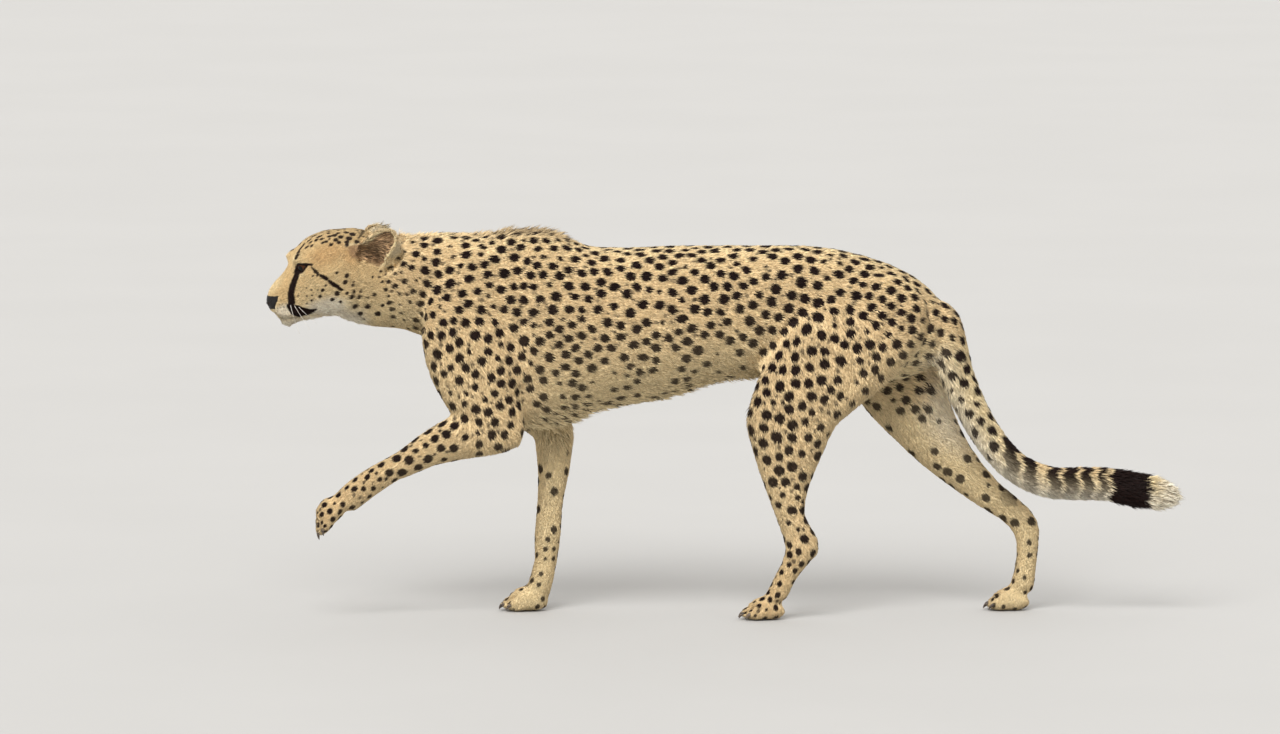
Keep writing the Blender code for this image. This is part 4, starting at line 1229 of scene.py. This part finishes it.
def build_eye(name, side):
    """A ball with a bulging cornea; each point keeps its place before the iris."""
    deselect()
    axes = eye_axes(side)
    turn = Vector((0, 0, 1)).rotation_difference(Vector(axes[0]))
    bpy.ops.mesh.primitive_uv_sphere_add(segments=56, ring_count=36, radius=EYE_RADIUS, location=EYES[side],
                                         rotation=turn.to_euler())
    eye = bpy.context.object
    eye.name = eye.data.name = name
    bpy.ops.object.transform_apply(location=True, rotation=True, scale=True)
    points = read(eye.data.vertices, "co", 3)
    local = (points - np.array(EYES[side])) @ axes.T / EYE_RADIUS
    angle = np.degrees(np.arccos(np.clip(local[:, 0], -1, 1)))
    bulge = 0.055 * (1 - step(10, 44, angle))
    points += (bulge * EYE_RADIUS)[:, None] * (points - np.array(EYES[side])) / EYE_RADIUS
    eye.data.vertices.foreach_set("co", points.astype(np.float32).ravel())
    attribute(eye.data, "iris", local[:, [1, 2, 0]])
    eye.data.update()
    bpy.ops.object.shade_smooth()
    return eye


def on_nose(local):
    """Whether places in the head's frame are on the leather of the nose."""
    inside = np.abs(local[:, 1]) < NOSE_HALF_WIDTH - 0.45 * np.maximum(-0.045 - local[:, 2], 0)
    for (u, v), (s, t) in zip(NOSE_EDGE, NOSE_EDGE[1:] + NOSE_EDGE[:1]):
        inside &= (s - u) * (local[:, 2] * 1000 - v) - (t - v) * (local[:, 0] * 1000 - u) > 0
    return inside


def build_nose(skin):
    """The bare leather of the nose, laid over the skin there."""
    edit_faces(skin, on_nose(to_head(read(skin.data.polygons, "center", 3))))
    bpy.ops.mesh.duplicate()
    bpy.ops.mesh.separate(type="SELECTED")
    bpy.ops.object.mode_set(mode="OBJECT")
    cut = next(item for item in bpy.context.selected_objects if item is not skin)
    nose = linked("nose_leather", cut.data)
    nose.data.name = nose.name
    bpy.data.objects.remove(cut)
    surface = Surface(nose)
    surface.points += surface.normals() * (0.9 * MM)
    surface.store()
    sculpt(surface, folded(surface.points), NOSE_STROKES)
    wall = nose.modifiers.new("wall", "SOLIDIFY")
    wall.thickness, wall.offset = 1.8 * MM, -1
    apply_all(nose)
    bpy.ops.object.shade_smooth()
    return nose


def curved_tube(path, radii, sides=6):
    """Points and faces of a closed tube along a path of points."""
    path = np.asarray(path, float)
    run = unit(np.gradient(path, axis=0))
    flank = unit(np.cross(run, (0.13, 0.29, 0.95)))
    over = np.cross(flank, run)
    turn = np.arange(sides) * 2 * math.pi / sides
    spokes = np.cos(turn)[:, None] * flank[:, None] + np.sin(turn)[:, None] * over[:, None]
    rings = path[:, None] + radii[:, None, None] * spokes
    points = np.concatenate([rings.reshape(-1, 3), path[:1], path[-1:]])
    faces, count = [], len(path)
    for k in range(count - 1):
        for j in range(sides):
            a, b = k * sides + j, k * sides + (j + 1) % sides
            faces += [(a, b, b + sides), (a, b + sides, a + sides)]
    for j in range(sides):
        a, b, last = j, (j + 1) % sides, (count - 1) * sides
        faces += [(b, a, count * sides), (last + a, last + b, count * sides + 1)]
    return points, np.array(faces)


def joined(name, parts):
    """One object from parts that are points and faces, all of them facing out."""
    start, points, faces = 0, [], []
    for part_points, part_faces in parts:
        points.append(part_points)
        faces.append(part_faces + start)
        start += len(part_points)
    made = linked(name, mesh_of(name, np.concatenate(points), np.concatenate(faces)))
    choose(made)
    bpy.ops.object.mode_set(mode="EDIT")
    bpy.ops.mesh.select_all(action="SELECT")
    bpy.ops.mesh.normals_make_consistent(inside=False)
    bpy.ops.object.mode_set(mode="OBJECT")
    return made


def build_claws():
    """A short blunt claw at the tip of each toe."""
    settings = bpy.context.scene.cheetah_sizes
    parts = []
    for leg in PAWS:
        rows, place, size = paw_axes(leg)
        for side, reach in TOES:
            t = np.linspace(0, 1, 9)
            x = reach + TOE_TIP + 10.5 * t
            z = 13.5 - 1.0 * t - 8.5 * t**2
            path = np.stack([x, np.full(9, side * 1.02), z], 1) * MM * size @ rows + place
            radii = np.interp(t, (0, 0.35, 0.8, 1), (3.4, 3.1, 1.8, 0.5)) * MM * size * settings.claw
            parts.append(curved_tube(path, radii, 10))
    return joined("claws", parts)


def build_whiskers(skin):
    """Long white hairs from the pads beside the nose."""
    settings = bpy.context.scene.cheetah_sizes
    points, normals = (read(skin.data.vertices, key, 3) for key in ("co", "normal"))
    local = to_head(points)
    random = np.random.default_rng(8)
    parts = []
    for side in (1, -1):
        for u, w, v, lean in WHISKERS:
            k = np.linalg.norm(local - np.array((u, side * w, v)) * MM, axis=1).argmin()
            out = unit(normals[k] + 0.3 * side * HEAD_AXES[1])
            back = unit(-HEAD_AXES[0] * (lean + random.uniform(-0.03, 0.03)) - HEAD_AXES[2])
            length = settings.whisker * random.uniform(0.7, 1.0)
            t = np.linspace(0, 1, 9)[:, None]
            rise = length * (0.42 * t - 0.26 * t**2) - 1.0 * MM * (1 - t)
            path = points[k] + out * rise + back * length * (0.45 * t + 0.50 * t**2)
            parts.append(curved_tube(path, np.linspace(0.45, 0.12, 9) * MM, 5))
    return joined("whiskers", parts)


# ---- Finishes ----

class Wire:
    """A number, colour or vector that comes out of a node, for use in plain expressions."""

    def __init__(self, finish, socket):
        self.finish, self.socket = finish, socket

    def math(self, operation, *values):
        return self.finish.node("ShaderNodeMath", {"operation": operation}, dict(enumerate(values)))

    def __add__(self, other):
        return self.math("ADD", self, other)

    def __sub__(self, other):
        return self.math("SUBTRACT", self, other)

    def __rsub__(self, other):
        return self.math("SUBTRACT", other, self)

    def __mul__(self, other):
        return self.math("MULTIPLY", self, other)

    __radd__, __rmul__ = __add__, __mul__

    def rise(self, low, high):
        """0 below low, 1 above high, smooth between."""
        return self.finish.node("ShaderNodeMapRange", {"interpolation_type": "SMOOTHSTEP"},
                                {"Value": self, "From Min": low, "From Max": high})


class Finish:
    """A material with one Principled shader."""

    def __init__(self, name, **fixed):
        self.material = bpy.data.materials.new(name)
        self.material.use_nodes = True
        self.tree = self.material.node_tree
        self.tree.nodes.clear()
        output = self.tree.nodes.new("ShaderNodeOutputMaterial")
        self.shader = self.tree.nodes.new("ShaderNodeBsdfPrincipled")
        self.tree.links.new(self.shader.outputs[0], output.inputs[0])
        for key, value in fixed.items():
            self.shader.inputs[key.replace("_", " ")].default_value = value

    def node(self, kind, settings=None, sockets=None, output=0):
        made = self.tree.nodes.new(kind)
        for key, value in (settings or {}).items():
            setattr(made, key, value)
        for key, value in (sockets or {}).items():
            self.feed(made.inputs[key], value)
        return Wire(self, made.outputs[output])

    def feed(self, socket, value):
        if isinstance(value, Wire):
            self.tree.links.new(value.socket, socket)
        elif socket.type == "RGBA":
            socket.default_value = (*value, 1.0)
        else:
            socket.default_value = value

    def kept(self, name, output):
        """A value kept on the mesh: output 0 is its colour, 1 its vector and 2 its number."""
        return self.node("ShaderNodeAttribute", {"attribute_name": name}, None, output)

    def place(self):
        return self.node("ShaderNodeTexCoord", None, None, 3)

    def noise(self, scale, detail=3.0, stretch=None, where=None):
        where = where or self.place()
        if stretch:
            where = self.node("ShaderNodeMapping", None, {"Vector": where, "Scale": stretch})
        return self.node("ShaderNodeTexNoise", None, {"Vector": where, "Scale": scale, "Detail": detail})

    def blend(self, a, b, share):
        return self.node("ShaderNodeMix", {"data_type": "RGBA"}, {0: share, 6: a, 7: b}, 2)

    def bump(self, height, strength, distance):
        settings = {"Height": height, "Strength": strength, "Distance": distance}
        self.feed(self.shader.inputs["Normal"], self.node("ShaderNodeBump", None, settings))

    def give(self, **values):
        for key, value in values.items():
            self.feed(self.shader.inputs[key.replace("_", " ")], value)
        return self.material


def tone(name):
    return tuple(linear(getattr(bpy.context.scene.cheetah_tones, name)))


def pelt_finish(name, on_skin):
    """Coat colour with its markings, for the skin or for the tufts."""
    fur = Finish(name, Sheen_Weight=0.03, Sheen_Roughness=0.5, Specular_IOR_Level=0.14)
    edge = fur.kept("mark", 2) * (MARK_REACH / MM)
    if on_skin:
        edge = edge + (fur.noise(420, 2) - 0.5) * 1.6
    share = (1 - edge.rise(-0.8, 0.8)) * fur.kept("ink", 2)
    grain = fur.noise(90 if on_skin else 260, 4)
    pelt = fur.kept("pelt", 0)
    worn = fur.node("ShaderNodeMix", {"data_type": "RGBA", "blend_type": "MULTIPLY"},
                    {0: 1.0, 6: pelt, 7: (0.87, 0.85, 0.82)}, 2)
    pelt = fur.blend(pelt, worn, grain.rise(0.35, 0.75))
    dark = fur.blend(tone("ink"), linear((0.16, 0.08, 0.045)), grain.rise(0.45, 0.8))
    if on_skin:
        fur.bump(fur.noise(520, 3, (0.45, 1.0, 1.0)), 0.6, 0.0012)
    return fur.give(Base_Color=fur.blend(pelt, dark, share), Roughness=grain * 0.25 + 0.60)


def eye_finish():
    """Amber iris round a black pupil, wet all over; the iris is painted far darker than its own amber, as
    painted shade of the lids.
    """
    eye = Finish("wet_eye", Coat_Weight=0.14, Coat_Roughness=0.03, Specular_IOR_Level=0.14)
    where = eye.kept("iris", 1)
    across = eye.node("ShaderNodeSeparateXYZ", None, {"Vector": where})
    over = Wire(eye, across.socket.node.outputs["Y"])
    radius = across.math("SQRT", across * across + over * over)
    turn = over.math("ARCTAN2", over, across)
    ring = eye.node("ShaderNodeCombineXYZ", None, {0: turn * 5.0, 1: radius * 1.2})
    streak = eye.noise(3.2, 4, None, ring)
    amber = (streak + radius * 0.4).rise(0.45, 0.9)
    # Both iris tones are much darker than the eye's own amber: painted shade of the lids.
    iris = eye.blend(linear((0.12, 0.06, 0.025)), linear((0.33, 0.18, 0.06)), amber)
    iris = eye.blend(linear((0.10, 0.05, 0.02)), iris, (radius + streak * 0.05).rise(0.35, 0.42))
    iris = eye.blend(iris, linear((0.06, 0.03, 0.02)), radius.rise(0.66, 0.74))
    colour = eye.blend(linear((0.015, 0.012, 0.012)), iris, radius.rise(0.325, 0.345))
    return eye.give(Base_Color=colour, Roughness=streak * 0.06 + 0.06)


def leather_finish():
    """Dark, finely cobbled leather of the nose."""
    leather = Finish("nose_leather", Specular_IOR_Level=0.28)
    cells = leather.node("ShaderNodeTexVoronoi", {"feature": "DISTANCE_TO_EDGE"},
                         {"Vector": leather.place(), "Scale": 900})
    grain = leather.noise(300, 4)
    leather.bump(cells.rise(0, 0.12) + grain * 0.4, 0.55, 0.0005)
    colour = leather.blend(linear((0.030, 0.020, 0.020)), linear((0.085, 0.058, 0.054)), grain.rise(0.35, 0.7))
    return leather.give(Base_Color=colour, Roughness=grain * 0.3 + 0.30)


# Grain's scale, detail and stretch; the two colours that it goes between, and from where to where;
# roughness, from and by how much more; the shader's specular level
PLAIN = {
    "horn": ((120, 4, (1.0, 1.0, 5.0)), (0.16, 0.13, 0.11), (0.50, 0.43, 0.36), (0.4, 0.75), (0.25, 0.2), 0.5),
    "whisker": ((60, 2), (0.86, 0.82, 0.76), (0.97, 0.95, 0.92), (0.3, 0.7), (0.30, 0.2), 0.6),
    "pale_floor": ((1.5, 3), (0.690, 0.685, 0.675), (0.697, 0.692, 0.682), (0.3, 0.7), (0.75, 0.1), 0.5),
}


def plain_finish(name, relief=0.0):
    """A grained finish of two colours, with the grain also as relief of such a strength."""
    grained, dark, light, between, (rough, more), specular = PLAIN[name]
    finish = Finish(name, Specular_IOR_Level=specular)
    grain = finish.noise(*grained)
    if relief:
        finish.bump(grain, relief, 0.0004)
    colour = finish.blend(linear(dark), linear(light), grain.rise(*between))
    return finish.give(Base_Color=colour, Roughness=grain * more + rough)


def dress(piece, material):
    """Gives a piece its only material and its body."""
    piece.data.materials.clear()
    piece.data.materials.append(material)
    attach(piece, "root")


# ---- Sizes and colours that a user would change ----

class CheetahCoatSettings(bpy.types.PropertyGroup):
    depth: FloatProperty(name="Depth", description="Depth of the coat, as a share of its natural depth",
                         default=1.0, min=0.5, max=1.0, subtype="FACTOR")
    cover: FloatProperty(name="Cover", description="How many tufts lie over each place",
                         default=1.96, min=0.2, max=2.0)
    spot_size: FloatProperty(name="Spot size", description="Size of the spots, as a share of the natural size",
                             default=1.0, min=0.5, max=1.5, subtype="FACTOR")
    spot_spacing: FloatProperty(name="Spot spacing", default=1.0, min=0.7, max=2.0, subtype="FACTOR",
                                description="Distance between spots, as a share of the natural one")
    seed: IntProperty(name="Seed", description="Picks another scatter of spots and hairs", default=7, min=0)


class CheetahTones(bpy.types.PropertyGroup):
    __annotations__ = {
        name: FloatVectorProperty(name=name.capitalize(), description=f"The coat's {name} tone", default=shade,
                                  min=0, max=1, subtype="COLOR_GAMMA")
        for name, shade in TONES.items()
    }


class CheetahSizes(bpy.types.PropertyGroup):
    whisker: FloatProperty(name="Whiskers", description="Length of the longest whisker",
                           default=0.060, min=0.02, max=0.12, unit="LENGTH")
    claw: FloatProperty(name="Claws", description="Thickness of the claws, as a share of the natural one",
                        default=1.0, min=0.5, max=1.3, subtype="FACTOR")
    camera_distance: FloatProperty(name="Camera distance", description="From the camera to the animal",
                                   default=16.9, min=2, unit="LENGTH")
    camera_lens: FloatProperty(name="Focal length", description="Of the camera, on a 36 mm wide sensor",
                               default=250.2, min=20, unit="CAMERA")


# ---- Operators ----

CANVAS = {}  # the skin's markings, which the coat repeats


class CHEETAH_OT_skin(bpy.types.Operator):
    """Welds the flesh into one skin, models its features and gives it its markings"""
    bl_idname = "cheetah.skin"
    bl_label = "Skin"

    def execute(self, context):
        skin = build_skin()
        CANVAS["skin"] = mark_skin(skin)
        dress(skin, pelt_finish("skin_pelt", True))
        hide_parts(*[name for name in FLESH if name != "nose"])
        return {"FINISHED"}


class CHEETAH_OT_eyes(bpy.types.Operator):
    """Makes both eyes"""
    bl_idname = "cheetah.eyes"
    bl_label = "Eyes"

    def execute(self, context):
        wet = eye_finish()
        for name, side in (("eye_left", 1), ("eye_right", -1)):
            eye = build_eye("wet_" + name, side)
            dress(eye, wet)
            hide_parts(name)
        return {"FINISHED"}


class CHEETAH_OT_nose(bpy.types.Operator):
    """Lays the nose's leather over the skin"""
    bl_idname = "cheetah.nose"
    bl_label = "Nose"

    def execute(self, context):
        nose = build_nose(bpy.data.objects["skin"])
        dress(nose, leather_finish())
        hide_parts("nose")
        return {"FINISHED"}


class CHEETAH_OT_claws(bpy.types.Operator):
    """Makes the claws of all four paws"""
    bl_idname = "cheetah.claws"
    bl_label = "Claws"

    def execute(self, context):
        dress(build_claws(), plain_finish("horn", 0.25))
        return {"FINISHED"}


class CHEETAH_OT_whiskers(bpy.types.Operator):
    """Makes the whiskers"""
    bl_idname = "cheetah.whiskers"
    bl_label = "Whiskers"

    def execute(self, context):
        dress(build_whiskers(bpy.data.objects["skin"]), plain_finish("whisker"))
        return {"FINISHED"}


class CHEETAH_OT_coat(bpy.types.Operator):
    """Grows the coat's tufts over the skin"""
    bl_idname = "cheetah.coat"
    bl_label = "Coat"

    def execute(self, context):
        skin = bpy.data.objects["skin"]
        ground = Ground(skin)
        fur = pelt_finish("coat_pelt", False)
        local = to_head(ground.middle)
        leather = on_nose(local)
        first = context.scene.cheetah_coat.seed + 100
        for seed, (name, (starts, side)) in enumerate(COAT_PIECES.items(), first):
            owned = [k for k, node in enumerate(FLESH) if node.startswith(starts)]
            chosen = np.isin(ground.owner, owned) & ~leather
            if side:
                where = local[:, 1] * side if "head" in name else -ground.middle[:, 1] * side
                chosen &= where >= 0
            tufts = grow_coat(name, ground, chosen, CANVAS["skin"], np.random.default_rng(seed))
            dress(tufts, fur)
        return {"FINISHED"}


TARGET = Vector((-0.157, 0.0007, 0.474))  # where the camera looks
CAMERA_RISE = math.radians(6.5)
# Suns: from the target, power, how soft in degrees
LIGHTS = (((-0.5, -1.6, 1.7), 3.25, 40), ((1.6, -1.0, 0.9), 0.70, 90), ((0.3, 1.5, 1.4), 0.65, 90))
SKY = (1.0, 0.98, 0.95, 1), 0.66  # colour and strength


def aimed(data, offset):
    """A light or camera at an offset from the target, turned toward it."""
    made = linked(data.name, data)
    made.location = TARGET + offset
    made.rotation_euler = (-offset).to_track_quat("-Z", "Y").to_euler()
    return made


class CHEETAH_OT_stage(bpy.types.Operator):
    """Sets up the floor, the lights and the camera"""
    bl_idname = "cheetah.stage"
    bl_label = "Stage"

    def execute(self, context):
        sizes, scene = context.scene.cheetah_sizes, context.scene
        deselect()
        bpy.ops.mesh.primitive_plane_add(size=120, location=(0, 0, 0))
        floor = context.object
        floor.name = "floor"
        floor.data.materials.append(plain_finish("pale_floor"))
        for k, (place, power, softness) in enumerate(LIGHTS, 1):
            lamp = bpy.data.lights.new(f"soft_light_{k}", "SUN")
            lamp.energy, lamp.angle = power, math.radians(softness)
            aimed(lamp, Vector(place))
        if not scene.world:
            scene.world = bpy.data.worlds.new("studio")
        scene.world.use_nodes = True
        nodes = scene.world.node_tree.nodes
        sky = nodes.get("Background") or nodes.new("ShaderNodeBackground")
        sky.inputs["Color"].default_value, sky.inputs["Strength"].default_value = SKY
        lens = bpy.data.cameras.new("camera")
        lens.lens, lens.sensor_width, lens.clip_end = sizes.camera_lens, 36, 200
        toward = Vector((0, -math.cos(CAMERA_RISE), math.sin(CAMERA_RISE)))
        scene.camera = aimed(lens, toward * sizes.camera_distance)
        scene.view_settings.view_transform = "Standard"
        return {"FINISHED"}


OPERATORS = (CHEETAH_OT_skin, CHEETAH_OT_eyes, CHEETAH_OT_nose, CHEETAH_OT_claws, CHEETAH_OT_whiskers,
             CHEETAH_OT_coat, CHEETAH_OT_stage)


class CHEETAH_PT_panel(bpy.types.Panel):
    """Lists the steps that make the cheetah, and its sizes and colours"""
    bl_idname = "CHEETAH_PT_panel"
    bl_label = "Cheetah"
    bl_space_type, bl_region_type, bl_category = "VIEW_3D", "UI", "Cheetah"

    def draw(self, context):
        for operator in OPERATORS:
            self.layout.operator(operator.bl_idname)
        for group in (context.scene.cheetah_coat, context.scene.cheetah_tones, context.scene.cheetah_sizes):
            for name in type(group).__annotations__:
                self.layout.prop(group, name)


GROUPS = {"cheetah_coat": CheetahCoatSettings, "cheetah_tones": CheetahTones, "cheetah_sizes": CheetahSizes}


def register():
    for item in (*GROUPS.values(), *OPERATORS, CHEETAH_PT_panel):
        bpy.utils.register_class(item)
    for name, group in GROUPS.items():
        setattr(bpy.types.Scene, name, PointerProperty(type=group))


def unregister():
    for name in GROUPS:
        delattr(bpy.types.Scene, name)
    for item in (CHEETAH_PT_panel, *reversed(OPERATORS), *GROUPS.values()):
        bpy.utils.unregister_class(item)


def main():
    register()
    for operator in OPERATORS:
        group, name = operator.bl_idname.split(".")
        getattr(getattr(bpy.ops, group), name)()


if __name__ == "__main__":
    main()
